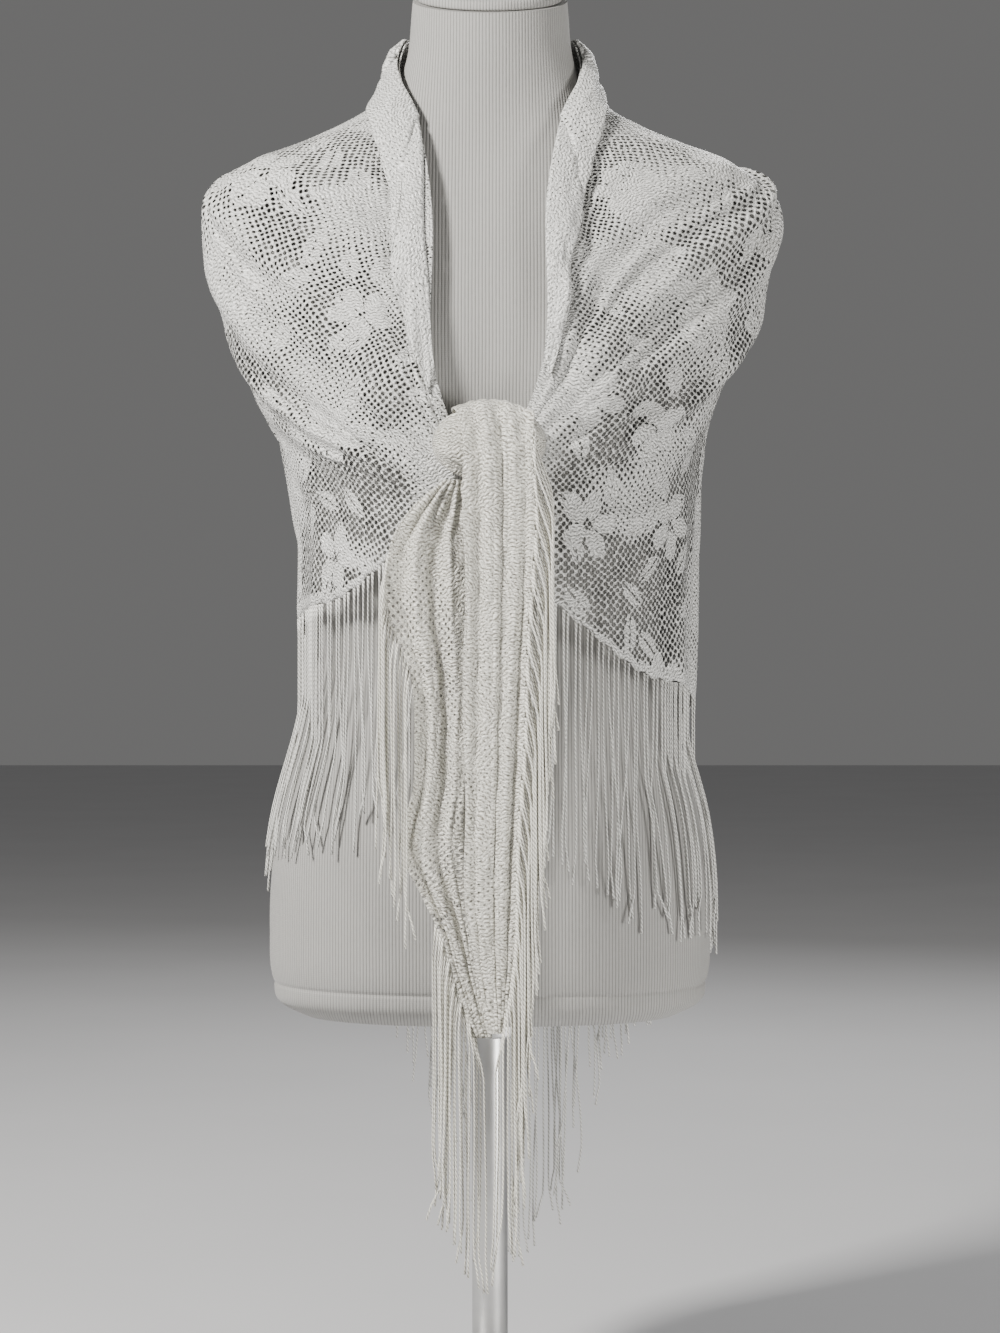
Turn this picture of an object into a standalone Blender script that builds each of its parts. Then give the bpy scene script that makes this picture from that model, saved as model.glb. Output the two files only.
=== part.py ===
"""A knitted lace shawl tied in front over a limbless dress form on a short stand.

Metres, +Z up, the front faces -Y. The origin is the centre of the stand's underside.
The triangular shawl lies over the shoulders: its long plain edge is turned back as a
collar, its two ends are tied in a half knot, and its two short edges carry the fringe.
"""

import math
from collections import namedtuple

import bmesh
import bpy
import numpy as np
from mathutils import Vector

# Stand
BASE_RADIUS = 0.140
BASE_THICKNESS = 0.012
BASE_BEVEL = 0.003
POLE_RADIUS = 0.0125
SOCKET_RADIUS = 0.026
SOCKET_HEIGHT = 0.016
SEAT_GAP = 0.0003

# Dress form
FORM_BOTTOM = 0.289
FORM_SIDES = 32
BUST_SWELL = 0.026
BUST_APART = 0.070
BUST_WIDTH = 0.042
BUST_HEIGHT = 0.700
BUST_TALL = 0.055
NECK_CAP_THICKNESS = 0.007
NECK_CAP_INSET = 0.003
NECK_SLANT = 0.43
NECK_SLANT_FROM = 0.640

# Cloth
WALL = 0.0018
FORM_CLEARANCE = 0.0014
SEAM_HALF_GAP = 0.0010
SIDE_SEAM_U = 0.43
CLOTH_ANGLE_SPAN = 170.0
CLOTH_ROWS = 18
BACK_COLUMNS = 24
FRONT_COLUMNS = 16
NORMAL_STEP = 0.004

# Collar
COLLAR_END_U = 0.955
COLLAR_WIDTH = 0.026
COLLAR_WIDER_IN_FRONT = 0.005
COLLAR_RUFFLE = 0.008
COLLAR_RUFFLE_U = 0.90
COLLAR_LIFT = 0.0030
COLLAR_SEAT = 0.0006
COLLAR_PUFF = 0.0040
COLLAR_COLUMNS = 40
COLLAR_ROWS = 4

# Left side of the cloth against the right one
LEFT_HEM_RISE = 0.052
LEFT_KNOT_DROP = 0.010
BAND_ANGLE = -72.0
BAND_SPREAD = 14.0
POINT_SHIFT = 0.018
POINT_DROP = 0.096
POINT_SPREAD = 23.0

# Knot
KNOT_CENTRE = Vector((0.000, -0.1416, 0.6740))
KNOT_RADII = Vector((0.0420, 0.0135, 0.0250))
KNOT_GROOVES = 7
KNOT_GROOVE_DEPTH = 0.0012

# Tails
TAIL_ROWS = 24
TAIL_COLUMNS = 8

# Fringe
FRINGE_LENGTH = 0.165
STRIP_GAP = 0.0007
BACK_STRIP_GAP = 0.0011
STRIP_HEIGHT = 0.0036
STRIP_THICKNESS = 0.0018
STRAND_WIDTH = 0.0022
STRAND_FORM_GAP = 0.0045
BODY_STRAND_SPACING = 0.0102
LEVEL_SPACING = 0.0050
OVER_STRAND_SPACING = 0.0185
UNDER_STRAND_SPACING = 0.0110
STRAND_STEP = 0.0027
TAIL_LAYER_GAP = 0.0042
TAIL_LAYERS = 2
TIP_STRAND_SPACING = 0.0070
SLOT_REACH = 0.0034
STRAND_SWAY = 0.0010

FormRing = namedtuple("FormRing", "height half_width front back squareness")
# Heights are over the form's bottom.
FORM_RINGS = (
    FormRing(0.000, 0.1300, 0.0820, 0.0820, 2.3),
    FormRing(0.007, 0.1440, 0.0950, 0.0950, 2.3),
    FormRing(0.024, 0.1510, 0.1020, 0.1030, 2.3),
    FormRing(0.060, 0.1535, 0.1050, 0.1080, 2.3),
    FormRing(0.126, 0.1485, 0.1020, 0.1050, 2.3),
    FormRing(0.196, 0.1300, 0.0940, 0.0920, 2.2),
    FormRing(0.256, 0.1190, 0.0880, 0.0830, 2.1),
    FormRing(0.326, 0.1260, 0.0920, 0.0850, 2.1),
    FormRing(0.391, 0.1400, 0.0990, 0.0910, 2.2),
    FormRing(0.446, 0.1540, 0.0990, 0.0960, 2.3),
    FormRing(0.501, 0.1750, 0.0900, 0.0960, 2.3),
    FormRing(0.536, 0.1880, 0.0790, 0.0910, 2.3),
    FormRing(0.558, 0.1915, 0.0700, 0.0850, 2.3),
    FormRing(0.573, 0.1810, 0.0640, 0.0800, 2.2),
    FormRing(0.587, 0.1520, 0.0590, 0.0720, 2.2),
    FormRing(0.601, 0.1180, 0.0550, 0.0650, 2.1),
    FormRing(0.616, 0.0880, 0.0520, 0.0590, 2.0),
    FormRing(0.634, 0.0700, 0.0495, 0.0540, 2.0),
    FormRing(0.661, 0.0595, 0.0485, 0.0510, 2.0),
    FormRing(0.707, 0.0540, 0.0470, 0.0490, 2.0),
)
LONGEST_FORM_STEP = 0.040

ClothRing = namedtuple(
    "ClothRing",
    "half_width left_wider front back taut_x taut_y band knot_z front_z side_z blade_z back_z",
)
# From the neck edge to the fringed hem. Heights are given at five places round each ring.
CLOTH_RINGS = (
    ClothRing(0.058, 0.000, 0.127, 0.061, 1.00, 1.60, 0.018, 0.694, 0.867, 0.962, 0.967, 0.972),
    ClothRing(0.094, 0.000, 0.129, 0.080, 1.20, 1.60, 0.016, 0.683, 0.838, 0.902, 0.909, 0.915),
    ClothRing(0.146, 0.000, 0.131, 0.096, 1.40, 1.50, 0.012, 0.672, 0.800, 0.881, 0.873, 0.866),
    ClothRing(0.198, 0.000, 0.132, 0.108, 1.45, 1.45, 0.008, 0.660, 0.757, 0.857, 0.828, 0.803),
    ClothRing(0.186, 0.000, 0.132, 0.116, 1.40, 1.40, 0.004, 0.647, 0.703, 0.783, 0.756, 0.722),
    ClothRing(0.150, 0.012, 0.131, 0.118, 1.25, 1.25, 0.000, 0.632, 0.660, 0.704, 0.668, 0.620),
    ClothRing(0.140, -0.009, 0.127, 0.120, 1.10, 1.10, 0.000, 0.612, 0.606, 0.620, 0.566, 0.500),
    ClothRing(0.136, -0.008, 0.124, 0.129, 1.05, 1.05, 0.000, 0.588, 0.530, 0.508, 0.430, 0.350),
)
RING_ANGLES = (-80.0, -45.0, 0.0, 45.0, 90.0)

Fold = namedtuple("Fold", "knot_v far_v far_u depth width")
# Tension folds that fan out from the knot. The sign of far_u says which side they lie on.
TENSION_FOLDS = (
    Fold(0.24, 0.21, 0.62, 0.0050, 0.030),
    Fold(0.36, 0.36, 0.50, 0.0075, 0.034),
    Fold(0.48, 0.47, 0.52, 0.0060, 0.028),
    Fold(0.60, 0.585, 0.50, 0.0065, 0.030),
    Fold(0.72, 0.70, 0.56, 0.0045, 0.032),
    Fold(0.26, 0.20, -0.62, 0.0050, 0.032),
    Fold(0.40, 0.36, -0.54, 0.0050, 0.036),
    Fold(0.54, 0.52, -0.52, 0.0055, 0.034),
    Fold(0.68, 0.62, -0.56, 0.0050, 0.034),
)
KNOT_FADE_U = 0.98

Drop = namedtuple("Drop", "u start_v depth width")
# Soft folds that hang down the back and the sides.
HANGING_FOLDS = (
    Drop(-0.36, 0.40, 0.0080, 0.030),
    Drop(-0.24, 0.48, 0.0100, 0.026),
    Drop(-0.10, 0.34, 0.0085, 0.028),
    Drop(0.06, 0.44, 0.0100, 0.026),
    Drop(0.19, 0.38, 0.0090, 0.028),
    Drop(0.33, 0.46, 0.0085, 0.030),
    Drop(0.52, 0.62, 0.0060, 0.030),
    Drop(0.66, 0.72, 0.0055, 0.030),
    Drop(-0.54, 0.66, 0.0045, 0.030),
    Drop(-0.68, 0.74, 0.0045, 0.030),
)

Hem = namedtuple("Hem", "places points downs outs")
TailSection = namedtuple("TailSection", "y z edge_x hem_x")
# The tail that comes up behind the knot, over its top and down the front.
OVER_TAIL = (
    TailSection(-0.1290, 0.6960, -0.0230, 0.0240),
    TailSection(-0.1400, 0.7012, -0.0240, 0.0255),
    TailSection(-0.1523, 0.6945, -0.0210, 0.0280),
    TailSection(-0.1577, 0.6700, -0.0170, 0.0290),
    TailSection(-0.1575, 0.6300, -0.0162, 0.0290),
    TailSection(-0.1566, 0.5750, -0.0160, 0.0270),
    TailSection(-0.1560, 0.5100, -0.0160, 0.0230),
    TailSection(-0.1555, 0.4450, -0.0160, 0.0200),
    TailSection(-0.1550, 0.3850, -0.0150, 0.0175),
    TailSection(-0.1545, 0.3320, -0.0080, 0.0145),
    TailSection(-0.1540, 0.2950, 0.0010, 0.0100),
)
OVER_FRINGE = (0.25, 0.995)
OVER_PLEATS = 3.0
OVER_PLEAT_DEPTH = 0.0022
# The tail that comes out under the knot and hangs behind the other one.
UNDER_TAIL = (
    TailSection(-0.1425, 0.6503, -0.0150, -0.0290),
    TailSection(-0.1395, 0.6350, -0.0100, -0.0470),
    TailSection(-0.1380, 0.6130, -0.0090, -0.0630),
    TailSection(-0.1380, 0.5900, -0.0080, -0.0670),
    TailSection(-0.1380, 0.5600, -0.0080, -0.0640),
    TailSection(-0.1380, 0.5300, -0.0085, -0.0530),
    TailSection(-0.1380, 0.4950, -0.0090, -0.0478),
    TailSection(-0.1380, 0.4550, -0.0090, -0.0490),
    TailSection(-0.1380, 0.4150, -0.0090, -0.0580),
    TailSection(-0.1380, 0.3800, -0.0080, -0.0420),
    TailSection(-0.1375, 0.3550, -0.0062, -0.0312),
    TailSection(-0.1370, 0.3250, -0.0030, -0.0215),
    TailSection(-0.1370, 0.2900, 0.0020, -0.0080),
)
UNDER_FRINGE_TOP = (0.20, 0.43)
UNDER_FRINGE_TIP = (0.86, 0.995)
UNDER_PLEATS = 2.5
UNDER_PLEAT_DEPTH = 0.0030

IVORY = (0.80, 0.80, 0.76, 1.0)
JERSEY = (0.62, 0.61, 0.59, 1.0)
PALE_METAL = (0.70, 0.70, 0.70, 1.0)


def material(name, colour, roughness, metallic=0.0):
    made = bpy.data.materials.new(name)
    made.use_nodes = True
    shader = made.node_tree.nodes["Principled BSDF"]
    shader.inputs["Base Color"].default_value = colour
    shader.inputs["Roughness"].default_value = roughness
    shader.inputs["Metallic"].default_value = metallic
    return made


def add_object(name, bm, surface, smooth_angle=40.0):
    """Links the bmesh as an object of the shawl's collection, shaded smooth."""
    mesh = bpy.data.meshes.new(name)
    bm.to_mesh(mesh)
    bm.free()
    mesh.materials.append(surface)
    mesh.shade_smooth()
    mesh.set_sharp_from_angle(angle=math.radians(smooth_angle))
    made = bpy.data.objects.new(name, mesh)
    PARTS.objects.link(made)
    return made


def spline(keys, values, at):
    """Smooth values between keyed ones. values may hold several columns."""
    keys = np.asarray(keys, float)
    values = np.asarray(values, float)
    slopes = np.gradient(values, keys, axis=0)
    low = np.clip(np.searchsorted(keys, at) - 1, 0, len(keys) - 2)
    step = keys[low + 1] - keys[low]
    t = np.clip((at - keys[low]) / step, 0.0, 1.0)
    if values.ndim > 1:
        t, step = t[:, None], step[:, None]
    return (
        (2 * t**3 - 3 * t**2 + 1) * values[low]
        + (t**3 - 2 * t**2 + t) * step * slopes[low]
        + (3 * t**2 - 2 * t**3) * values[low + 1]
        + (t**3 - t**2) * step * slopes[low + 1]
    )


def smooth_step(x, low, high):
    t = np.clip((x - low) / (high - low), 0.0, 1.0)
    return t * t * (3 - 2 * t)


def bump(x, centre, width):
    return np.exp(-(((x - centre) / width) ** 2))


# The form


def form_section(z):
    """Half width, front depth, back depth and squareness of the form at each height."""
    heights = [ring.height + FORM_BOTTOM for ring in FORM_RINGS]
    columns = [tuple(ring)[1:] for ring in FORM_RINGS]
    return spline(heights, columns, np.asarray(z, float)).T


def bust_swell(x, z):
    return (
        BUST_SWELL
        * bump(np.abs(x), BUST_APART, BUST_WIDTH)
        * bump(z, BUST_HEIGHT, BUST_TALL)
    )


def form_point(angle, z):
    half_width, front, back, squareness = form_section([z])[:, 0]
    power = 2.0 / squareness
    x = half_width * math.copysign(abs(math.cos(angle)) ** power, math.cos(angle))
    depth = front + bust_swell(x, z) if math.sin(angle) < 0 else back
    y = depth * math.copysign(abs(math.sin(angle)) ** power, math.sin(angle))
    slant_from = FORM_BOTTOM + NECK_SLANT_FROM
    slant = smooth_step(z, slant_from, FORM_BOTTOM + FORM_RINGS[-1].height)
    return Vector((x, y, z + NECK_SLANT * y * slant))


def clear_of_form(points, gap):
    """Moves points out from the form's axis until they lie clear of its surface."""
    points = np.array(points, float)
    for drop in (0.0, 0.004, 0.008):
        x, y, z = points.T
        half_width, front, back, squareness = form_section(z - drop)
        depth = np.where(y < 0, front + bust_swell(x, z), back)
        level = (
            np.abs(x / half_width) ** squareness + np.abs(y / depth) ** squareness
        ) ** (1 / squareness)
        reach = np.hypot(x, y)
        out = np.maximum(1.0, (1 + gap / reach) / level)
        inside = (z - drop > FORM_BOTTOM) | (drop == 0.0)
        below = z < FORM_BOTTOM - 0.010
        out = np.where(inside & ~below, out, 1.0)
        points[:, 0] *= out
        points[:, 1] *= out
    return points


def form_heights():
    """The rings' heights, with more between those that lie far apart."""
    heights = [FORM_RINGS[0].height]
    for ring in FORM_RINGS[1:]:
        gap = ring.height - heights[-1]
        steps = max(1, math.ceil(gap / LONGEST_FORM_STEP))
        heights += [heights[-1] + gap * (i + 1) / steps for i in range(steps)]
    return [FORM_BOTTOM + height for height in heights]


def build_form_body(surface):
    heights = form_heights()
    bm = bmesh.new()
    bmesh.ops.create_uvsphere(
        bm, u_segments=FORM_SIDES, v_segments=len(heights) + 1, radius=1.0
    )
    for vert in bm.verts:
        ring = round((1 - math.acos(max(-1, min(1, vert.co.z))) / math.pi) * (len(heights) + 1))
        if ring in (0, len(heights) + 1):
            vert.co = Vector((0, 0, heights[0] if ring == 0 else heights[-1]))
        else:
            vert.co = form_point(math.atan2(vert.co.y, vert.co.x), heights[ring - 1])
    return add_object("form_body", bm, surface)


def build_neck_cap(surface):
    top = FORM_RINGS[-1]
    bm = bmesh.new()
    bmesh.ops.create_cone(
        bm, cap_ends=True, segments=FORM_SIDES, radius1=1.0, radius2=0.94, depth=NECK_CAP_THICKNESS
    )
    for vert in bm.verts:
        vert.co.x *= top.half_width - NECK_CAP_INSET
        vert.co.y *= top.front - NECK_CAP_INSET
        vert.co.z += NECK_SLANT * vert.co.y
    made = add_object("form_neck_cap", bm, surface)
    made.location.z = FORM_BOTTOM + top.height + SEAT_GAP + NECK_CAP_THICKNESS / 2
    return made


def disc(name, radius, bottom, top, surface, segments, bevel=0.0):
    bm = bmesh.new()
    bmesh.ops.create_cone(
        bm, cap_ends=True, segments=segments, radius1=radius, radius2=radius, depth=top - bottom
    )
    if bevel:
        rim = [edge for edge in bm.edges if abs(edge.verts[0].co.z - edge.verts[1].co.z) < 1e-6]
        bmesh.ops.bevel(bm, geom=rim, offset=bevel, segments=2, affect="EDGES", profile=0.5)
    made = add_object(name, bm, surface)
    made.location.z = (bottom + top) / 2
    return made


def build_stand(surface):
    socket_bottom = FORM_BOTTOM - SEAT_GAP - SOCKET_HEIGHT
    disc("stand_base", BASE_RADIUS, 0.0, BASE_THICKNESS, surface, 48, BASE_BEVEL)
    disc(
        "stand_pole", POLE_RADIUS, BASE_THICKNESS + SEAT_GAP, socket_bottom - SEAT_GAP, surface, 20
    )
    disc("stand_socket", SOCKET_RADIUS, socket_bottom, FORM_BOTTOM - SEAT_GAP, surface, 24)


# The cloth over the shoulders. u runs from the left knot edge (-1) round the back (0) to the
# right knot edge (1), and v from the neck edge (0) to the hem (1).


def ring_points(u):
    """Each cloth ring at each u, as an array of rings by points by three."""
    angle_deg = 90.0 - CLOTH_ANGLE_SPAN * np.abs(u)
    angle = np.radians(angle_deg)
    side = np.where(u < 0, -1.0, 1.0)
    left = (u < 0).astype(float)
    away_from_back = smooth_step(np.abs(u), 0.0, 0.55)
    near_knot = smooth_step(np.abs(u), 0.72, 1.0)
    at_knot = smooth_step(np.abs(u), 0.86, 1.0)
    rings = []
    for i, ring in enumerate(CLOTH_RINGS):
        lowness = smooth_step(i / (len(CLOTH_RINGS) - 1), 0.55, 1.0)
        taut_x = np.where(angle < 0, ring.taut_x, 1.0)
        taut_y = np.where(angle < 0, ring.taut_y, 1.0)
        half_width = ring.half_width + left * ring.left_wider
        x = half_width * np.abs(np.cos(angle)) ** taut_x
        x = x + ring.band * bump(angle_deg, BAND_ANGLE, BAND_SPREAD)
        x = side * x + POINT_SHIFT * lowness * smooth_step(angle_deg, 30.0, 90.0)
        depth = np.where(angle < 0, -ring.front, ring.back)
        y = depth * np.abs(np.sin(angle)) ** taut_y
        heights = (ring.knot_z, ring.front_z, ring.side_z, ring.blade_z, ring.back_z)
        z = spline(RING_ANGLES, heights, angle_deg)
        z = z + left * away_from_back * (1 - 0.6 * at_knot) * LEFT_HEM_RISE * lowness
        point = np.exp(-(((angle_deg - 90.0) / POINT_SPREAD) ** 4))
        z = z - POINT_DROP * point * smooth_step(i, 5.5, 7.0)
        z = z - left * near_knot * LEFT_KNOT_DROP * (1 - lowness)
        rings.append(np.stack([x, y, z], axis=1))
    return np.array(rings)


def bare_cloth(u, v):
    """The cloth without its folds, clear of the form."""
    rings = ring_points(u)
    keys = np.linspace(0.0, 1.0, len(CLOTH_RINGS))
    slopes = np.gradient(rings, keys, axis=0)
    low = np.clip(np.searchsorted(keys, v) - 1, 0, len(keys) - 2)
    step = keys[1]
    t = ((v - keys[low]) / step)[:, None]
    each = np.arange(len(u))
    points = (
        (2 * t**3 - 3 * t**2 + 1) * rings[low, each]
        + (t**3 - 2 * t**2 + t) * step * slopes[low, each]
        + (3 * t**2 - 2 * t**3) * rings[low + 1, each]
        + (t**3 - t**2) * step * slopes[low + 1, each]
    )
    return clear_of_form(points, FORM_CLEARANCE)


def cloth_normals(u, v):
    """Outward directions of the bare cloth, from its slopes across and down."""
    across = bare_cloth(u + NORMAL_STEP, v) - bare_cloth(u - NORMAL_STEP, v)
    low = np.clip(v - NORMAL_STEP, 0.0, 1.0)
    high = np.clip(v + NORMAL_STEP, 0.0, 1.0)
    down = bare_cloth(u, high) - bare_cloth(u, low)
    normals = np.cross(across, down)
    return normals / np.linalg.norm(normals, axis=1, keepdims=True)


def fold_height(u, v):
    """How far the folds lift the cloth off its bare shape."""
    height = np.zeros_like(u)
    for fold in TENSION_FOLDS:
        side = math.copysign(1.0, fold.far_u)
        along = np.clip((u * side - abs(fold.far_u)) / (1 - abs(fold.far_u)), 0, 1)
        ridge = fold.far_v + (fold.knot_v - fold.far_v) * along
        fade = smooth_step(u * side, abs(fold.far_u) - 0.10, abs(fold.far_u) + 0.12)
        fade = fade * (1 - smooth_step(u * side, 0.76, KNOT_FADE_U))
        height += fold.depth * fade * bump(v, ridge, fold.width)
    for drop in HANGING_FOLDS:
        fade = smooth_step(v, drop.start_v, drop.start_v + 0.30)
        height += drop.depth * fade * bump(u, drop.u, drop.width)
    return height


def cloth(u, v, lift=0.0):
    """Points on the inner side of the folded cloth, or lifted off it."""
    u, v = np.broadcast_arrays(np.asarray(u, float), np.asarray(v, float))
    u, v = u.ravel(), v.ravel()
    height = fold_height(u, v) + lift
    return bare_cloth(u, v) + cloth_normals(u, v) * height[:, None]


def build_sheet(name, shape, columns, rows, surface):
    """A cloth wall over shape, which places points across (0 to 1) and down (0 to 1)."""
    bm = bmesh.new()
    bmesh.ops.create_grid(bm, x_segments=columns, y_segments=rows, size=0.5)
    across = np.array([vert.co.x + 0.5 for vert in bm.verts])
    down = np.array([vert.co.y + 0.5 for vert in bm.verts])
    for vert, place in zip(bm.verts, shape(across, down)):
        vert.co = Vector(place)
    made = add_object(name, bm, surface)
    wall = made.modifiers.new("Wall", "SOLIDIFY")
    wall.thickness = WALL
    wall.offset = 1.0
    return made


def build_shawl_panels(surface):
    """The stretches over the back and over each shoulder, parted at the sides."""
    gap = SEAM_HALF_GAP
    panels = (
        ("shawl_back", -SIDE_SEAM_U + gap, SIDE_SEAM_U - gap, BACK_COLUMNS),
        ("shawl_right_front", SIDE_SEAM_U + gap, 1.0, FRONT_COLUMNS),
        ("shawl_left_front", -1.0, -SIDE_SEAM_U - gap, FRONT_COLUMNS),
    )
    for name, start, end, columns in panels:
        build_sheet(
            name,
            lambda across, down, a=start, b=end: cloth(a + (b - a) * across, down),
            columns,
            CLOTH_ROWS,
            surface,
        )


def column_length(u, share=0.06):
    """Length of the cloth from the neck edge down, for each whole height of it."""
    edge = bare_cloth(u, np.zeros_like(u))
    below = bare_cloth(u, np.full_like(u, share))
    return np.linalg.norm(below - edge, axis=1) / share


def collar_points(across, down):
    """The turned back edge: the cloth's own points by the neck, moved out."""
    u = COLLAR_END_U * (2 * across - 1)
    frontness = smooth_step(np.abs(u), 0.50, 0.85)
    width = COLLAR_WIDTH + COLLAR_WIDER_IN_FRONT * frontness
    width = width * (1 + 0.06 * np.sin(7.0 * u + 0.6) + 0.10 * frontness * np.sin(26.0 * u + 1.0))
    width = width + COLLAR_RUFFLE * bump(np.abs(u), COLLAR_RUFFLE_U, 0.04)
    taper = 1 - 0.55 * smooth_step(np.abs(u), 0.80, COLLAR_END_U)
    puff = COLLAR_PUFF * np.sin(math.pi * np.clip(down * 0.85 + 0.08, 0, 1)) * taper
    seated = smooth_step(np.abs(u), 0.84, COLLAR_END_U)
    lift = COLLAR_LIFT + (COLLAR_SEAT - COLLAR_LIFT) * seated + puff * (1 - seated)
    share = width * taper / column_length(u)
    return cloth(u, share * down + 0.004, WALL + lift)


# The knot and the tails


def build_knot(surface):
    bm = bmesh.new()
    bmesh.ops.create_uvsphere(bm, u_segments=22, v_segments=12, radius=1.0)
    for vert in bm.verts:
        spin = math.atan2(vert.co.y, vert.co.z)
        groove = 1 - KNOT_GROOVE_DEPTH / KNOT_RADII.y * (
            0.5 + 0.5 * math.cos(KNOT_GROOVES * spin + 3.0 * vert.co.x)
        )
        vert.co = Vector(
            (
                KNOT_CENTRE.x + vert.co.x * KNOT_RADII.x,
                KNOT_CENTRE.y + vert.co.y * KNOT_RADII.y * groove,
                KNOT_CENTRE.z + vert.co.z * KNOT_RADII.z * groove,
            )
        )
    return add_object("knot", bm, surface)


def tail_points(sections, pleats, depth, across, down):
    """A tail between its plain edge (across 0) and its fringed hem (across 1)."""
    keys = np.linspace(0.0, 1.0, len(sections))
    y, z, edge_x, hem_x = spline(keys, sections, down).T
    x = edge_x + (hem_x - edge_x) * across
    width = np.abs(hem_x - edge_x)
    swell = depth * smooth_step(down, 0.0, 0.25) * smooth_step(width, 0.006, 0.040)
    drift = 1.5 * np.sin(math.pi * across) * np.sin(3.0 * down)
    fold = np.cos(2 * math.pi * pleats * (1 - across) + drift)
    return np.stack([x, y - swell * fold, z], axis=1)


def over_tail(across, down):
    return tail_points(OVER_TAIL, OVER_PLEATS, OVER_PLEAT_DEPTH, across, down)


def under_tail(across, down):
    return tail_points(UNDER_TAIL, UNDER_PLEATS, UNDER_PLEAT_DEPTH, across, down)


# The fringe


def downs_off(downs, gap):
    """How far the strip's top lies off the hem."""
    return downs / np.linalg.norm(downs, axis=1, keepdims=True) * gap


def body_hem(start, end, columns, gap=STRIP_GAP):
    """The strip's top along a panel's hem, at the mesh's own columns, mid wall."""
    u = np.linspace(start, end, columns + 1)
    inner = cloth(u, 1.0)
    tangents = np.gradient(inner, axis=0)
    tangents /= np.linalg.norm(tangents, axis=1, keepdims=True)
    outs = cloth_normals(u, np.ones_like(u))
    downs = np.cross(outs, tangents)
    points = inner + outs * WALL / 2
    outs[:, 2] = 0
    return Hem(u, points + downs_off(downs, gap), downs, outs)


def tail_hem(shape, side):
    """The fringed hem of a tail at its mesh's own rows. side is +1 where it faces +X."""
    down = np.linspace(0.0, 1.0, TAIL_ROWS + 1)
    hem = shape(np.ones_like(down), down)
    tangents = np.gradient(hem, axis=0)
    aways = np.stack([-tangents[:, 2], np.zeros_like(down), tangents[:, 0]], axis=1)
    aways *= np.sign(aways[:, :1]) * side
    outs = np.tile((0.0, -1.0, 0.0), (len(down), 1))
    return Hem(down, hem + outs * WALL / 2 + downs_off(aways, STRIP_GAP), aways, outs)


def on_hem(hem, at):
    """Points and unit ways off the hem and out, where the mesh's straight edges run."""
    found = [
        np.stack([np.interp(at, hem.places, column) for column in values.T], axis=1)
        for values in (hem.points, hem.downs, hem.outs)
    ]
    for i in (1, 2):
        found[i] /= np.linalg.norm(found[i], axis=1, keepdims=True)
    return [[Vector(row) for row in values] for values in found]


def even_stations(hem, start, end, spacing, level_too):
    """Where each strand's root starts and ends along the hem.

    With level_too, strands are also kept LEVEL_SPACING apart seen from above.
    """
    fine = np.linspace(start, end, 600)
    points = np.array(on_hem(hem, fine)[0])
    steps = np.diff(points, axis=0)
    level = np.hypot(steps[:, 0], steps[:, 1]) * spacing / LEVEL_SPACING
    lengths = np.linalg.norm(steps, axis=1)
    if level_too:
        lengths = np.minimum(lengths, level)
    along = np.concatenate([[0], np.cumsum(lengths)])
    count = int(along[-1] / spacing)
    middles = (np.arange(count) + 0.5) * along[-1] / count
    at = np.interp(middles, along, fine)
    true_length = np.concatenate([[0], np.cumsum(np.linalg.norm(steps, axis=1))])
    middles = np.interp(at, fine, true_length)
    half = STRAND_WIDTH / 2
    starts = np.interp(middles - half, true_length, fine)
    return starts, np.interp(middles + half, true_length, fine)


def sweep_ring(place, direction, out, width):
    """The four corners of a strand's section, across and out."""
    across = out.cross(direction).normalized()
    half_out = out * STRIP_THICKNESS / 2
    half_across = across * width / 2
    return (
        place - half_across - half_out,
        place + half_across - half_out,
        place + half_across + half_out,
        place - half_across + half_out,
    )


def nearest_order(ring, corners):
    """The ring's corners in the order that twists a strand least."""
    turns = [ring[i:] + ring[:i] for i in range(4)]
    flipped = [turn[::-1] for turn in turns]
    return min(turns + flipped, key=lambda r: sum((a - b).length for a, b in zip(r, corners)))


def draw_strand(bm, face, path, out):
    """Pulls a strand out of the strip's face along its path."""
    for place, following in zip(path, path[1:] + [None]):
        at = path.index(place)
        back = path[at - 1] if at else face.calc_center_median()
        ahead = following if following is not None else place
        direction = (ahead - back).normalized()
        ring = sweep_ring(place, direction, out, STRAND_WIDTH)
        face = bmesh.ops.extrude_discrete_faces(bm, faces=[face])["faces"][0]
        corners = [vert.co.copy() for vert in face.verts]
        for vert, corner in zip(face.verts, nearest_order(ring, corners)):
            vert.co = corner


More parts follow.
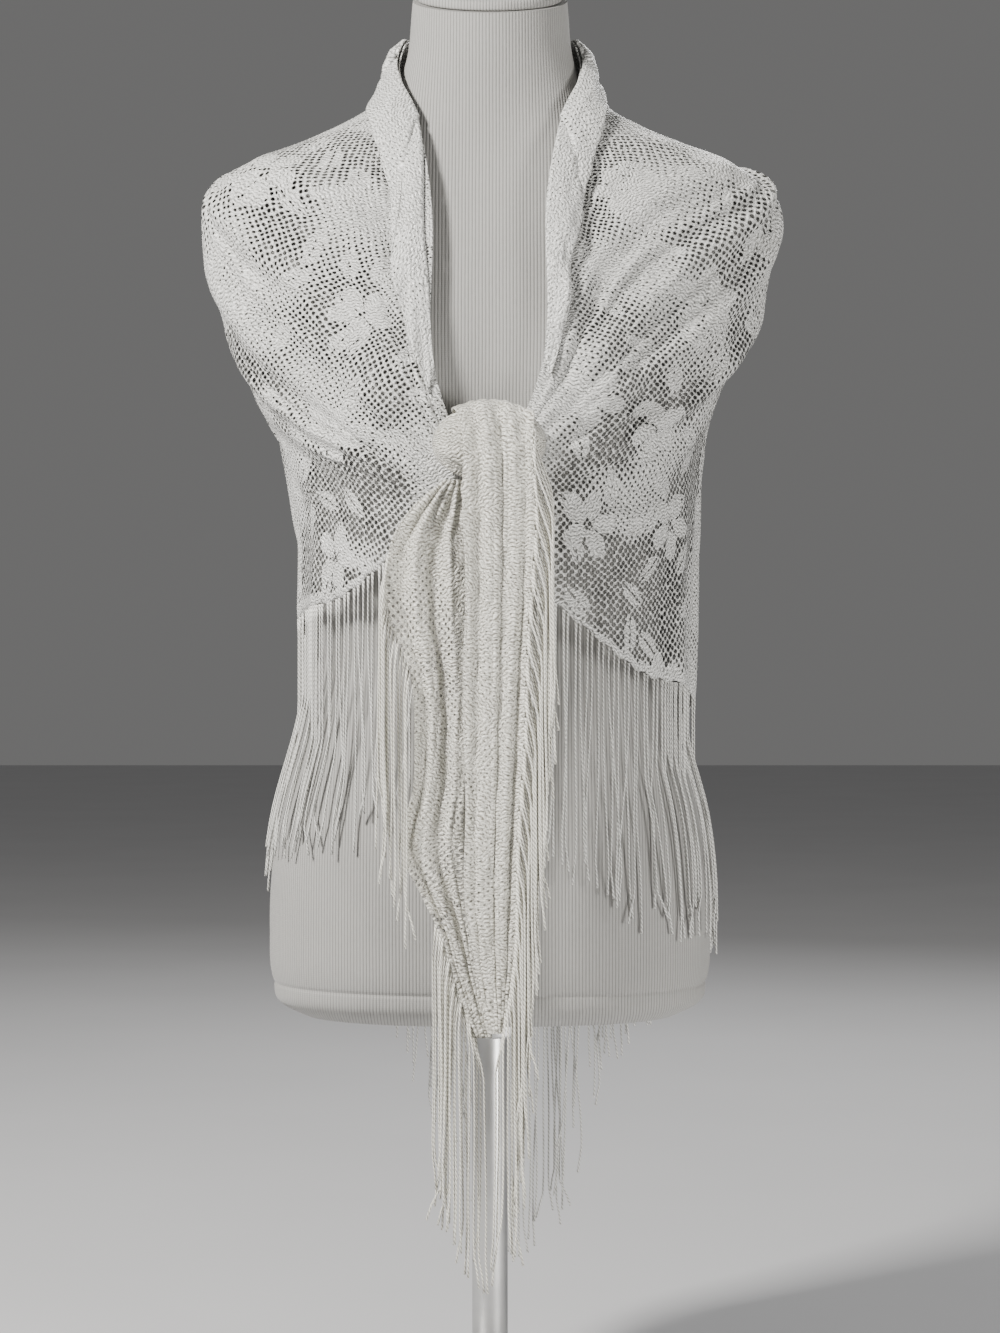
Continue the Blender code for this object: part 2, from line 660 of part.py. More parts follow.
def build_fringe(name, hem, span, spacing, strand_paths, surface, level_too=False):
    """A narrow strip just off the hem, with a strand drawn from each root on it.

    strand_paths gives each strand's points below its root, from the roots' middles and
    their ways down and out.
    """
    starts, ends = even_stations(hem, span[0], span[1], spacing, level_too)
    corners = [
        place
        for place in hem.places
        if starts[0] < place < ends[-1] and not np.any((starts <= place) & (place <= ends))
    ]
    places = np.sort(np.concatenate([starts, ends, corners]))
    points, downs, outs = on_hem(hem, places)
    bm = bmesh.new()
    rings = []
    for point, down, out in zip(points, downs, outs):
        bottom = point + down * STRIP_HEIGHT
        half_out = out * STRIP_THICKNESS / 2
        ring = (point - half_out, point + half_out, bottom + half_out, bottom - half_out)
        rings.append([bm.verts.new(corner) for corner in ring])
    roots = []
    for i, (near, far) in enumerate(zip(rings, rings[1:])):
        for k in range(4):
            face = bm.faces.new((near[k], near[(k + 1) % 4], far[(k + 1) % 4], far[k]))
            if k == 2 and places[i] in starts:
                roots.append((i, face))
    bm.faces.new(rings[0])
    bm.faces.new(rings[-1][::-1])
    middles = [face.calc_center_median() for _, face in roots]
    ways_down = [(downs[i] + downs[i + 1]).normalized() for i, _ in roots]
    ways_out = [(outs[i] + outs[i + 1]).normalized() for i, _ in roots]
    paths = strand_paths(middles, ways_down, ways_out)
    for (_, face), path, out in zip(roots, paths, ways_out):
        draw_strand(bm, face, path, out)
    bmesh.ops.recalc_face_normals(bm, faces=bm.faces)
    return add_object(name, bm, surface)


def sway(index, share):
    """A small sideways swing that differs from strand to strand."""
    return STRAND_SWAY * math.sin(2.3 * index + 3.5 * share) * share


def body_strands(roots, downs, outs):
    """Strands that fall from the body hem, clear of the form."""
    paths = []
    for index, (root, down, out) in enumerate(zip(roots, downs, outs)):
        length = FRINGE_LENGTH * (1 + 0.06 * math.sin(1.7 * index))
        across = Vector((-out.y, out.x, 0))
        path = [root + (down + Vector((0, 0, -1))).normalized() * 0.006]
        for share in (0.30, 0.62, 1.0):
            drop = path[-1].z - (path[0].z - length * share)
            place = path[-1] - Vector((0, 0, drop)) + across * sway(index, share)
            path.append(Vector(clear_of_form([place], STRAND_FORM_GAP)[0]))
        paths.append(path)
    return paths


def beside_slots(roots, side):
    """Where strands hang that fall beside a tail, each clear of those that pass it."""
    slots = [0.0] * len(roots)
    for i in range(len(roots) - 1, -1, -1):
        slots[i] = side * roots[i].x + SLOT_REACH
        for below in range(i + TAIL_LAYERS, len(roots), TAIL_LAYERS):
            if roots[below].z > roots[i].z - 1.1 * FRINGE_LENGTH:
                slots[i] = max(slots[i], slots[below] + STRAND_STEP)
    return [side * slot for slot in slots]


def hanging_strands(layer_y, side):
    """Strands that hang straight down beside a tail in layers, one before another."""

    def paths_of(roots, downs, outs):
        paths = []
        for index, (root, slot) in enumerate(zip(roots, beside_slots(roots, side))):
            length = FRINGE_LENGTH * (1 + 0.05 * math.sin(2.1 * index))
            y = layer_y - TAIL_LAYER_GAP * (index % TAIL_LAYERS)
            turn = Vector((root.x + side * 0.0022, (root.y + y) / 2, root.z - 0.0014))
            swing = max(abs(slot - root.x) - SLOT_REACH, 0.0)
            fall = Vector((slot, y, root.z - 0.0065 - 0.7 * swing))
            bottom = root.z - length
            middle = Vector((slot, y, (fall.z + bottom) / 2))
            paths.append([turn, fall, middle, Vector((slot, y, bottom))])
        return paths

    return paths_of


def build_fringes(surface):
    seam = SIDE_SEAM_U - SEAM_HALF_GAP
    back = body_hem(-seam, seam, BACK_COLUMNS, BACK_STRIP_GAP)
    right = body_hem(SIDE_SEAM_U + SEAM_HALF_GAP, 1.0, FRONT_COLUMNS)
    left = body_hem(-1.0, -SIDE_SEAM_U - SEAM_HALF_GAP, FRONT_COLUMNS)
    body = (
        ("fringe_right_front", right, (SIDE_SEAM_U + 0.008, 0.985)),
        ("fringe_right_back", back, (0.012, SIDE_SEAM_U - 0.008)),
        ("fringe_left_back", back, (-SIDE_SEAM_U + 0.008, -0.012)),
        ("fringe_left_front", left, (-0.985, -SIDE_SEAM_U - 0.008)),
    )
    for name, hem, span in body:
        build_fringe(name, hem, span, BODY_STRAND_SPACING, body_strands, surface, True)
    over = tail_hem(over_tail, 1)
    under = tail_hem(under_tail, -1)
    tails = (
        ("fringe_tail_over", over, OVER_FRINGE, OVER_STRAND_SPACING, -0.1570, 1),
        ("fringe_tail_under", under, UNDER_FRINGE_TOP, UNDER_STRAND_SPACING, -0.1450, -1),
        ("fringe_tail_tip", under, UNDER_FRINGE_TIP, TIP_STRAND_SPACING, -0.1375, -1),
    )
    for name, hem, span, spacing, layer_y, side in tails:
        build_fringe(name, hem, span, spacing, hanging_strands(layer_y, side), surface)


def clear_scene():
    for existing in list(bpy.data.objects):
        bpy.data.objects.remove(existing, do_unlink=True)


clear_scene()
PARTS = bpy.data.collections.new("lace_shawl_on_dress_form")
bpy.context.scene.collection.children.link(PARTS)

knit = material("ivory_lace_knit", IVORY, 0.62)
cords = material("ivory_fringe_cord", IVORY, 0.55)
jersey = material("ribbed_jersey", JERSEY, 0.85)
metal = material("pale_metal", PALE_METAL, 0.35, 1.0)

build_form_body(jersey)
build_neck_cap(jersey)
build_stand(metal)
build_shawl_panels(knit)
build_sheet("collar", collar_points, COLLAR_COLUMNS, COLLAR_ROWS, knit)
build_knot(knit)
build_sheet(
    "tail_over", lambda across, down: over_tail(1 - across, down), TAIL_COLUMNS, TAIL_ROWS, knit
)
build_sheet("tail_under", under_tail, TAIL_COLUMNS, TAIL_ROWS, knit)
build_fringes(cords)
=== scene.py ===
"""Looks of a knitted lace shawl that is tied in front over a limbless dress form.

Metres, +Z up, the front faces -Y. Every piece keeps to the form of the solid that it
stands for: the cloth as thin shells, the fringe as fine cords, the dress form in jersey.
"""

import logging
import math
from dataclasses import dataclass
from enum import Enum
from typing import Callable, NamedTuple, Sequence

import bmesh
import bpy
import numpy as np
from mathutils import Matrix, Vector

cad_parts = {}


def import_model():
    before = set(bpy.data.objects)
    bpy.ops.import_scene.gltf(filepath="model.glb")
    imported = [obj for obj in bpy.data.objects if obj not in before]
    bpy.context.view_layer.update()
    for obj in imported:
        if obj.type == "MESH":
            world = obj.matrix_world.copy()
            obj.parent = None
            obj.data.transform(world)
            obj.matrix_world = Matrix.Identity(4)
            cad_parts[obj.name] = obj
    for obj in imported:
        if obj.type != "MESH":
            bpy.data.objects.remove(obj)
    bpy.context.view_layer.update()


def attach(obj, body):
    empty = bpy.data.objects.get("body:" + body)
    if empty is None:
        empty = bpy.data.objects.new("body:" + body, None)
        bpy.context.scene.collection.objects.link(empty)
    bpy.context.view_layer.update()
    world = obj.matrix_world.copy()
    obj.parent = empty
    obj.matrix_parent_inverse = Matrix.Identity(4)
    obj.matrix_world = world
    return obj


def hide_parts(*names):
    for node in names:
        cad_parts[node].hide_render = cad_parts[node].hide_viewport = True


Array = np.ndarray
Colour = tuple[float, float, float]
Rgba = tuple[float, float, float, float]
log = logging.getLogger("shawl")

FORM_BOTTOM = 0.289
WALL = 0.0009
RIM_SEGMENTS = 4
SHARP_DEG = 35


# Sizes and curves


class FormRing(NamedTuple):
    """One level of the dress form.

    Attributes:
        height: its height over the form's bottom.
        half_width: half its width.
        front: its depth in front of the axis.
        back: its depth behind it.
        squareness: 2 for an ellipse, more for a squarer outline.
    """

    height: float
    half_width: float
    front: float
    back: float
    squareness: float


class ClothRing(NamedTuple):
    """One line round the cloth, from the neck edge to the hem.

    Attributes:
        half_width: half its width.
        left_wider: how much further out its left half runs.
        front: its depth in front of the axis.
        back: its depth behind it.
        taut_x: 1 where its front half is round across, more where it is pulled straight.
        taut_y: the same from front to back.
        band: how far the band by the knot stands out sideways.
        knot_z: its height at the knot, and so on round to the back.
        front_z: its height at the front.
        side_z: its height at the side.
        blade_z: its height at the shoulder blade.
        back_z: its height in the middle of the back.
    """

    half_width: float
    left_wider: float
    front: float
    back: float
    taut_x: float
    taut_y: float
    band: float
    knot_z: float
    front_z: float
    side_z: float
    blade_z: float
    back_z: float


class Fold(NamedTuple):
    """A tension fold that fans out from the knot.

    Attributes:
        knot_v: its place down the cloth at the knot.
        far_v: its place down the cloth at its far end.
        far_u: how far round the cloth that end lies.
        depth: its height.
        width: its spread down the cloth.
    """

    knot_v: float
    far_v: float
    far_u: float
    depth: float
    width: float


class Drop(NamedTuple):
    """A soft fold that hangs down.

    Attributes:
        u: its place round the cloth.
        start_v: how far down the cloth it begins.
        depth: its height.
        width: its spread round the cloth.
    """

    u: float
    start_v: float
    depth: float
    width: float


class Pleat(NamedTuple):
    """A pleat along a tail.

    Attributes:
        across: its place between the plain edge, 0, and the hem, 1.
        width: its spread across.
        depth: its height.
        drift: how far it wanders across.
    """

    across: float
    width: float
    depth: float
    drift: float


class TailSection(NamedTuple):
    """One level of a tail.

    Attributes:
        y: its place from front to back.
        z: its height over the floor.
        edge_x: where its plain edge lies.
        hem_x: where its fringed hem lies.
    """

    y: float
    z: float
    edge_x: float
    hem_x: float


FORM_RINGS = (
    FormRing(0.000, 0.1300, 0.0820, 0.0820, 2.3),
    FormRing(0.007, 0.1440, 0.0950, 0.0950, 2.3),
    FormRing(0.024, 0.1510, 0.1020, 0.1030, 2.3),
    FormRing(0.060, 0.1535, 0.1050, 0.1080, 2.3),
    FormRing(0.126, 0.1485, 0.1020, 0.1050, 2.3),
    FormRing(0.196, 0.1300, 0.0940, 0.0920, 2.2),
    FormRing(0.256, 0.1190, 0.0880, 0.0830, 2.1),
    FormRing(0.326, 0.1260, 0.0920, 0.0850, 2.1),
    FormRing(0.391, 0.1400, 0.0990, 0.0910, 2.2),
    FormRing(0.446, 0.1540, 0.0990, 0.0960, 2.3),
    FormRing(0.501, 0.1750, 0.0900, 0.0960, 2.3),
    FormRing(0.536, 0.1880, 0.0790, 0.0910, 2.3),
    FormRing(0.558, 0.1915, 0.0700, 0.0850, 2.3),
    FormRing(0.573, 0.1810, 0.0640, 0.0800, 2.2),
    FormRing(0.587, 0.1520, 0.0590, 0.0720, 2.2),
    FormRing(0.601, 0.1180, 0.0550, 0.0650, 2.1),
    FormRing(0.616, 0.0880, 0.0520, 0.0590, 2.0),
    FormRing(0.634, 0.0700, 0.0495, 0.0540, 2.0),
    FormRing(0.661, 0.0595, 0.0485, 0.0510, 2.0),
    FormRing(0.707, 0.0540, 0.0470, 0.0490, 2.0),
)
CLOTH_RINGS = (
    ClothRing(0.058, 0.000, 0.127, 0.061, 1.00, 1.60, 0.018, 0.694, 0.867, 0.962, 0.967, 0.972),
    ClothRing(0.094, 0.000, 0.129, 0.080, 1.20, 1.60, 0.016, 0.683, 0.838, 0.902, 0.909, 0.915),
    ClothRing(0.146, 0.000, 0.131, 0.096, 1.40, 1.50, 0.012, 0.672, 0.800, 0.881, 0.873, 0.866),
    ClothRing(0.198, 0.000, 0.132, 0.108, 1.45, 1.45, 0.008, 0.660, 0.757, 0.857, 0.828, 0.803),
    ClothRing(0.186, 0.000, 0.132, 0.116, 1.40, 1.40, 0.004, 0.647, 0.703, 0.783, 0.756, 0.722),
    ClothRing(0.150, 0.012, 0.131, 0.118, 1.25, 1.25, 0.000, 0.632, 0.660, 0.704, 0.668, 0.620),
    ClothRing(0.140, -0.009, 0.127, 0.120, 1.10, 1.10, 0.000, 0.612, 0.606, 0.620, 0.566, 0.500),
    ClothRing(0.136, -0.008, 0.124, 0.129, 1.05, 1.05, 0.000, 0.588, 0.530, 0.508, 0.430, 0.350),
)
RING_ANGLES = (-80.0, -45.0, 0.0, 45.0, 90.0)
TENSION_FOLDS = (
    Fold(0.24, 0.21, 0.62, 0.0050, 0.030),
    Fold(0.36, 0.36, 0.50, 0.0075, 0.034),
    Fold(0.48, 0.47, 0.52, 0.0060, 0.028),
    Fold(0.60, 0.585, 0.50, 0.0065, 0.030),
    Fold(0.72, 0.70, 0.56, 0.0045, 0.032),
    Fold(0.26, 0.20, -0.62, 0.0050, 0.032),
    Fold(0.40, 0.36, -0.54, 0.0050, 0.036),
    Fold(0.54, 0.52, -0.52, 0.0055, 0.034),
    Fold(0.68, 0.62, -0.56, 0.0050, 0.034),
)
# Narrow creases between the main folds, each of its own length, depth and width.
CREASES = (
    Fold(0.30, 0.29, 0.58, 0.0029, 0.010),
    Fold(0.34, 0.25, 0.66, 0.0023, 0.008),
    Fold(0.42, 0.42, 0.52, 0.0033, 0.009),
    Fold(0.45, 0.33, 0.70, 0.0021, 0.007),
    Fold(0.53, 0.53, 0.56, 0.0027, 0.010),
    Fold(0.57, 0.49, 0.72, 0.0023, 0.008),
    Fold(0.65, 0.66, 0.60, 0.0024, 0.011),
    Fold(0.70, 0.61, 0.74, 0.0018, 0.008),
    Fold(0.80, 0.80, 0.66, 0.0019, 0.013),
    Fold(0.20, 0.13, 0.66, 0.0021, 0.010),
    Fold(0.31, 0.27, -0.60, 0.0025, 0.011),
    Fold(0.35, 0.22, -0.70, 0.0019, 0.008),
    Fold(0.46, 0.43, -0.55, 0.0030, 0.010),
    Fold(0.50, 0.36, -0.72, 0.0023, 0.008),
    Fold(0.60, 0.58, -0.58, 0.0024, 0.010),
    Fold(0.63, 0.50, -0.74, 0.0019, 0.008),
    Fold(0.76, 0.72, -0.64, 0.0021, 0.012),
    Fold(0.20, 0.12, -0.66, 0.0019, 0.010),
)
HANGING_FOLDS = (
    Drop(-0.36, 0.40, 0.0080, 0.030),
    Drop(-0.24, 0.48, 0.0100, 0.026),
    Drop(-0.10, 0.34, 0.0085, 0.028),
    Drop(0.06, 0.44, 0.0100, 0.026),
    Drop(0.19, 0.38, 0.0090, 0.028),
    Drop(0.33, 0.46, 0.0085, 0.030),
    Drop(0.52, 0.62, 0.0060, 0.030),
    Drop(0.66, 0.72, 0.0055, 0.030),
    Drop(-0.54, 0.66, 0.0045, 0.030),
    Drop(-0.68, 0.74, 0.0045, 0.030),
)
# Slighter hanging creases between the soft folds.
SLIGHT_DROPS = (
    Drop(-0.46, 0.46, 0.0026, 0.012),
    Drop(-0.30, 0.52, 0.0034, 0.010),
    Drop(-0.17, 0.42, 0.0029, 0.011),
    Drop(-0.03, 0.50, 0.0036, 0.010),
    Drop(0.12, 0.47, 0.0028, 0.010),
    Drop(0.26, 0.40, 0.0034, 0.011),
    Drop(0.42, 0.55, 0.0029, 0.012),
    Drop(0.59, 0.70, 0.0014, 0.012),
    Drop(-0.60, 0.70, 0.0014, 0.012),
)
OVER_TAIL = (
    TailSection(-0.1290, 0.6960, -0.0230, 0.0240),
    TailSection(-0.1400, 0.7012, -0.0240, 0.0255),
    TailSection(-0.1523, 0.6945, -0.0210, 0.0280),
    TailSection(-0.1577, 0.6700, -0.0170, 0.0290),
    TailSection(-0.1575, 0.6300, -0.0162, 0.0290),
    TailSection(-0.1566, 0.5750, -0.0160, 0.0270),
    TailSection(-0.1560, 0.5100, -0.0160, 0.0230),
    TailSection(-0.1555, 0.4450, -0.0160, 0.0200),
    TailSection(-0.1550, 0.3850, -0.0150, 0.0175),
    TailSection(-0.1545, 0.3320, -0.0080, 0.0145),
    TailSection(-0.1540, 0.2950, 0.0010, 0.0100),
)
UNDER_TAIL = (
    TailSection(-0.1425, 0.6503, -0.0150, -0.0290),
    TailSection(-0.1395, 0.6350, -0.0100, -0.0470),
    TailSection(-0.1380, 0.6130, -0.0090, -0.0630),
    TailSection(-0.1380, 0.5900, -0.0080, -0.0670),
    TailSection(-0.1380, 0.5600, -0.0080, -0.0640),
    TailSection(-0.1380, 0.5300, -0.0085, -0.0530),
    TailSection(-0.1380, 0.4950, -0.0090, -0.0478),
    TailSection(-0.1380, 0.4550, -0.0090, -0.0490),
    TailSection(-0.1380, 0.4150, -0.0090, -0.0580),
    TailSection(-0.1380, 0.3800, -0.0080, -0.0420),
    TailSection(-0.1375, 0.3550, -0.0062, -0.0312),
    TailSection(-0.1370, 0.3250, -0.0030, -0.0215),
    TailSection(-0.1370, 0.2900, 0.0020, -0.0080),
)

OVER_PLEATS = (
    Pleat(0.10, 0.035, 0.0012, 0.03),
    Pleat(0.30, 0.050, 0.0019, -0.05),
    Pleat(0.47, 0.030, 0.0023, 0.04),
    Pleat(0.62, 0.025, 0.0016, -0.03),
    Pleat(0.80, 0.045, 0.0021, 0.05),
    Pleat(0.93, 0.025, 0.0010, -0.02),
)
UNDER_PLEATS = (
    Pleat(0.14, 0.040, 0.0015, -0.04),
    Pleat(0.34, 0.030, 0.0021, 0.05),
    Pleat(0.55, 0.045, 0.0014, 0.03),
    Pleat(0.73, 0.028, 0.0022, -0.05),
    Pleat(0.90, 0.035, 0.0012, 0.03),
)


def hermite(t: Array, step: Array, ends: Sequence[Array], slopes: Sequence[Array]) -> Array:
    """A smooth value at share t between two ends that lie a step apart, each with its slope."""
    return (
        (2 * t**3 - 3 * t**2 + 1) * ends[0]
        + (t**3 - 2 * t**2 + t) * step * slopes[0]
        + (3 * t**2 - 2 * t**3) * ends[1]
        + (t**3 - t**2) * step * slopes[1]
    )


def spline(keys: Sequence[float], values: Sequence, at: Array) -> Array:
    """Smooth values between keyed ones.

    Args:
        keys: rising places of the known values.
        values: a value, or a row of values, at each key.
        at: the places wanted.

    Returns:
        The value or row of values at each place.
    """
    keys = np.asarray(keys, float)
    values = np.asarray(values, float)
    slopes = np.gradient(values, keys, axis=0)
    low = np.clip(np.searchsorted(keys, at) - 1, 0, len(keys) - 2)
    step = keys[low + 1] - keys[low]
    t = np.clip((at - keys[low]) / step, 0.0, 1.0)
    if values.ndim > 1:
        t, step = t[:, None], step[:, None]
    ends = (values[low], values[low + 1])
    return hermite(t, step, ends, (slopes[low], slopes[low + 1]))


def smooth_step(x: Array, low: float, high: float) -> Array:
    """A soft rise from 0 at low to 1 at high."""
    t = np.clip((x - low) / (high - low), 0.0, 1.0)
    return t * t * (3 - 2 * t)


def bump(x: Array, centre: Array, width: float) -> Array:
    """A soft ridge of height 1 at centre."""
    return np.exp(-(((x - centre) / width) ** 2))


def ripple(a: Array, b: Array) -> Array:
    """An uneven value from about -1 to 1 that wanders over a and b."""
    return (
        np.sin(1.00 * a + 1.7 * b + 0.3)
        + 0.7 * np.sin(2.13 * a - 1.3 * b + 1.9)
        + 0.5 * np.sin(0.61 * a + 3.1 * b + 4.2)
    ) / 2.2


# Shapes that the pieces follow


@dataclass(frozen=True)
class FormShape:
    """The dress form's surface.

    Attributes:
        bust_swell: how far the bust stands out.
        bust_apart: its distance from the middle.
        bust_width: its spread across.
        bust_height: its height over the floor.
        bust_tall: its spread up and down.
        slant: how steeply the neck's top falls towards the front.
        slant_from: the height over the form's bottom where that begins.
    """

    bust_swell: float = 0.026
    bust_apart: float = 0.070
    bust_width: float = 0.042
    bust_height: float = 0.700
    bust_tall: float = 0.055
    slant: float = 0.43
    slant_from: float = 0.640

    def section(self, z: Array) -> Array:
        """Half width, front depth, back depth and squareness at each height."""
        heights = [ring.height + FORM_BOTTOM for ring in FORM_RINGS]
        return spline(heights, [tuple(ring)[1:] for ring in FORM_RINGS], z).T

    def swell(self, x: Array, z: Array) -> Array:
        """How far the bust stands out at each place."""
        across = bump(np.abs(x), self.bust_apart, self.bust_width)
        return self.bust_swell * across * bump(z, self.bust_height, self.bust_tall)

    def points(self, angle: Array, z: Array) -> Array:
        """Points of the surface.

        Args:
            angle: turn round the form, 0 at +X.
            z: height of each point before the neck's slant.

        Returns:
            An array of points.
        """
        half_width, front, back, squareness = self.section(z)
        power = 2.0 / squareness
        cos, sin = np.cos(angle), np.sin(angle)
        x = half_width * np.sign(cos) * np.abs(cos) ** power
        depth = np.where(sin < 0, front + self.swell(x, z), back)
        y = depth * np.sign(sin) * np.abs(sin) ** power
        top = FORM_BOTTOM + FORM_RINGS[-1].height
        slant = smooth_step(z, FORM_BOTTOM + self.slant_from, top)
        return np.stack([x, y, z + self.slant * y * slant], axis=1)

    def clear(self, points: Array, gap: float) -> Array:
        """Moves points out from the form's axis until they lie clear of it.

        Args:
            points: the points to move.
            gap: the least distance kept.

        Returns:
            The moved points.
        """
        points = np.array(points, float)
        for drop in (0.0, 0.004, 0.008):
            x, y, z = points.T
            half_width, front, back, squareness = self.section(z - drop)
            depth = np.where(y < 0, front + self.swell(x, z), back)
            level = (np.abs(x / half_width) ** squareness + np.abs(y / depth) ** squareness) ** (
                1 / squareness
            )
            out = np.maximum(1.0, (1 + gap / np.hypot(x, y)) / level)
            inside = (z - drop > FORM_BOTTOM) | (drop == 0.0)
            out = np.where(inside & (z >= FORM_BOTTOM - 0.010), out, 1.0)
            points[:, 0] *= out
            points[:, 1] *= out
        return points


@dataclass(frozen=True)
class ClothShape:
    """The shawl over the shoulders.

    u runs from the left knot edge (-1) round the back (0) to the right knot edge (1), and v
    from the neck edge (0) to the hem (1).

    Attributes:
        form: the dress form below it.
        gap: the least distance to the form.
        span_deg: the turn from the middle of the back to a knot edge.
        hem_rise: how much higher the left hem hangs.
        knot_drop: how much lower the left side meets the knot.
        band_angle: where the band by the knot lies.
        band_spread: how wide that band is.
        point_shift: how far the back's point lies to the right.
        point_drop: how far it hangs down.
        point_spread: how wide it is.
        wander: how far the creases stray from their lines.
        gathers: how many gathers the cloth has by the knot, from neck edge to hem.
        gather_depth: their depth.
        uneven: depth of the cloth's soft unevenness.
        uneven_fine: depth of its finer unevenness.
    """

    form: FormShape = FormShape()
    gap: float = 0.0014
    span_deg: float = 170.0
    hem_rise: float = 0.052
    knot_drop: float = 0.010
    band_angle: float = -72.0
    band_spread: float = 14.0
    point_shift: float = 0.018
    point_drop: float = 0.096
    point_spread: float = 23.0
    wander: float = 0.006
    gathers: float = 8.5
    gather_depth: float = 0.0016
    uneven: float = 0.0006
    uneven_fine: float = 0.0004

    def rings(self, u: Array) -> Array:
        """Each cloth ring at each u, as rings by points by three."""
        degrees = 90.0 - self.span_deg * np.abs(u)
        angle = np.radians(degrees)
        side = np.where(u < 0, -1.0, 1.0)
        left = (u < 0).astype(float)
        away = smooth_step(np.abs(u), 0.0, 0.55)
        near_knot = smooth_step(np.abs(u), 0.72, 1.0)
        at_knot = smooth_step(np.abs(u), 0.86, 1.0)
        found = []
        for i, ring in enumerate(CLOTH_RINGS):
            lowness = smooth_step(i / (len(CLOTH_RINGS) - 1), 0.55, 1.0)
            taut_x = np.where(angle < 0, ring.taut_x, 1.0)
            taut_y = np.where(angle < 0, ring.taut_y, 1.0)
            half_width = ring.half_width + left * ring.left_wider
            x = half_width * np.abs(np.cos(angle)) ** taut_x
            x = x + ring.band * bump(degrees, self.band_angle, self.band_spread)
            x = side * x + self.point_shift * lowness * smooth_step(degrees, 30.0, 90.0)
            depth = np.where(angle < 0, -ring.front, ring.back)
            y = depth * np.abs(np.sin(angle)) ** taut_y
            heights = (ring.knot_z, ring.front_z, ring.side_z, ring.blade_z, ring.back_z)
            z = spline(RING_ANGLES, heights, degrees)
            z = z + left * away * (1 - 0.6 * at_knot) * self.hem_rise * lowness
            point = np.exp(-(((degrees - 90.0) / self.point_spread) ** 4))
            z = z - self.point_drop * point * smooth_step(i, 5.5, 7.0)
            z = z - left * near_knot * self.knot_drop * (1 - lowness)
            found.append(np.stack([x, y, z], axis=1))
        return np.array(found)

    def bare(self, u: Array, v: Array) -> Array:
        """The cloth without its folds, clear of the form."""
        rings = self.rings(u)
        keys = np.linspace(0.0, 1.0, len(CLOTH_RINGS))
        slopes = np.gradient(rings, keys, axis=0)
        low = np.clip(np.searchsorted(keys, v) - 1, 0, len(keys) - 2)
        step = keys[1]
        t = ((v - keys[low]) / step)[:, None]
        each = np.arange(len(u))
        ends = (rings[low, each], rings[low + 1, each])
        points = hermite(t, step, ends, (slopes[low, each], slopes[low + 1, each]))
        return self.form.clear(points, self.gap)

    def normals(self, u: Array, v: Array, step: float = 0.004) -> Array:
        """Outward directions of the bare cloth."""
        across = self.bare(u + step, v) - self.bare(u - step, v)
        down = self.bare(u, np.clip(v + step, 0, 1)) - self.bare(u, np.clip(v - step, 0, 1))
        normals = np.cross(across, down)
        return normals / np.linalg.norm(normals, axis=1, keepdims=True)

    def column_length(self, u: Array, share: float = 0.06) -> Array:
        """Length of the cloth from the neck edge down, for each whole height of it."""
        edge = self.bare(u, np.zeros_like(u))
        below = self.bare(u, np.full_like(u, share))
        return np.linalg.norm(below - edge, axis=1) / share

    def fold_height(self, u: Array, v: Array) -> Array:
        """How far the main folds lift the cloth."""
        height = self.tension(u, v, TENSION_FOLDS, 0.10, 0.12)
        return height + self.hanging(u, v, HANGING_FOLDS, 0.30)

    def hanging(self, u: Array, v: Array, drops: Sequence[Drop], reach: float) -> Array:
        """Height of folds that hang down, each at its whole depth a reach below its start."""
        height = np.zeros_like(u)
        for drop in drops:
            fade = smooth_step(v, drop.start_v, drop.start_v + reach)
            height += drop.depth * fade * bump(u, drop.u, drop.width)
        return height

    def tension(
        self, u: Array, v: Array, folds: Sequence[Fold], before: float, after: float
    ) -> Array:
        """Height of folds that fan out from the knot.

        Args:
            u: places round the cloth.
            v: places down the cloth.
            folds: the folds.
            before: how far ahead of its far end a fold begins to rise.
            after: how far past that end it has its whole depth.

        Returns:
            The height at each place.
        """
        height = np.zeros_like(u)
        for fold in folds:
            side = math.copysign(1.0, fold.far_u)
            far = abs(fold.far_u)
            along = np.clip((u * side - far) / (1 - far), 0, 1)
            ridge = fold.far_v + (fold.knot_v - fold.far_v) * along
            fade = smooth_step(u * side, far - before, far + after)
            fade = fade * (1 - smooth_step(u * side, 0.76, 0.98))
            height += fold.depth * fade * bump(v, ridge, fold.width)
        return height

    def crease_height(self, u: Array, v: Array) -> Array:
        """The lesser creases and the cloth's slight unevenness."""
        wander = self.wander * ripple(9.0 * u, 4.0 * v)
        height = self.tension(u, v + wander, CREASES, 0.06, 0.16)
        height += self.hanging(u + wander - 0.02 * (v - 0.5), v, SLIGHT_DROPS, 0.22)
        near = smooth_step(np.abs(u), 0.78, 0.92) * smooth_step(v, 0.10, 0.25)
        turns = self.gathers * v + 180.0 * wander
        height += self.gather_depth * near * (0.5 + 0.5 * np.sin(2 * math.pi * turns))
        low = smooth_step(v, 0.0, 0.10) * (1 - 0.6 * smooth_step(np.abs(u), 0.90, 1.0))
        height += self.uneven * low * (1 + ripple(34.0 * u, 21.0 * v))
        height += self.uneven_fine * low * (1 + ripple(88.0 * u + 2.0, 47.0 * v))
        return height

    def points(self, u: Array, v: Array, lift: Array | float = 0.0, fine: bool = True) -> Array:
        """Points of the cloth's inner side, or lifted off it."""
        height = self.fold_height(u, v) + lift
        if fine:
            height = height + self.crease_height(u, v)
        return self.bare(u, v) + self.normals(u, v) * height[:, None]


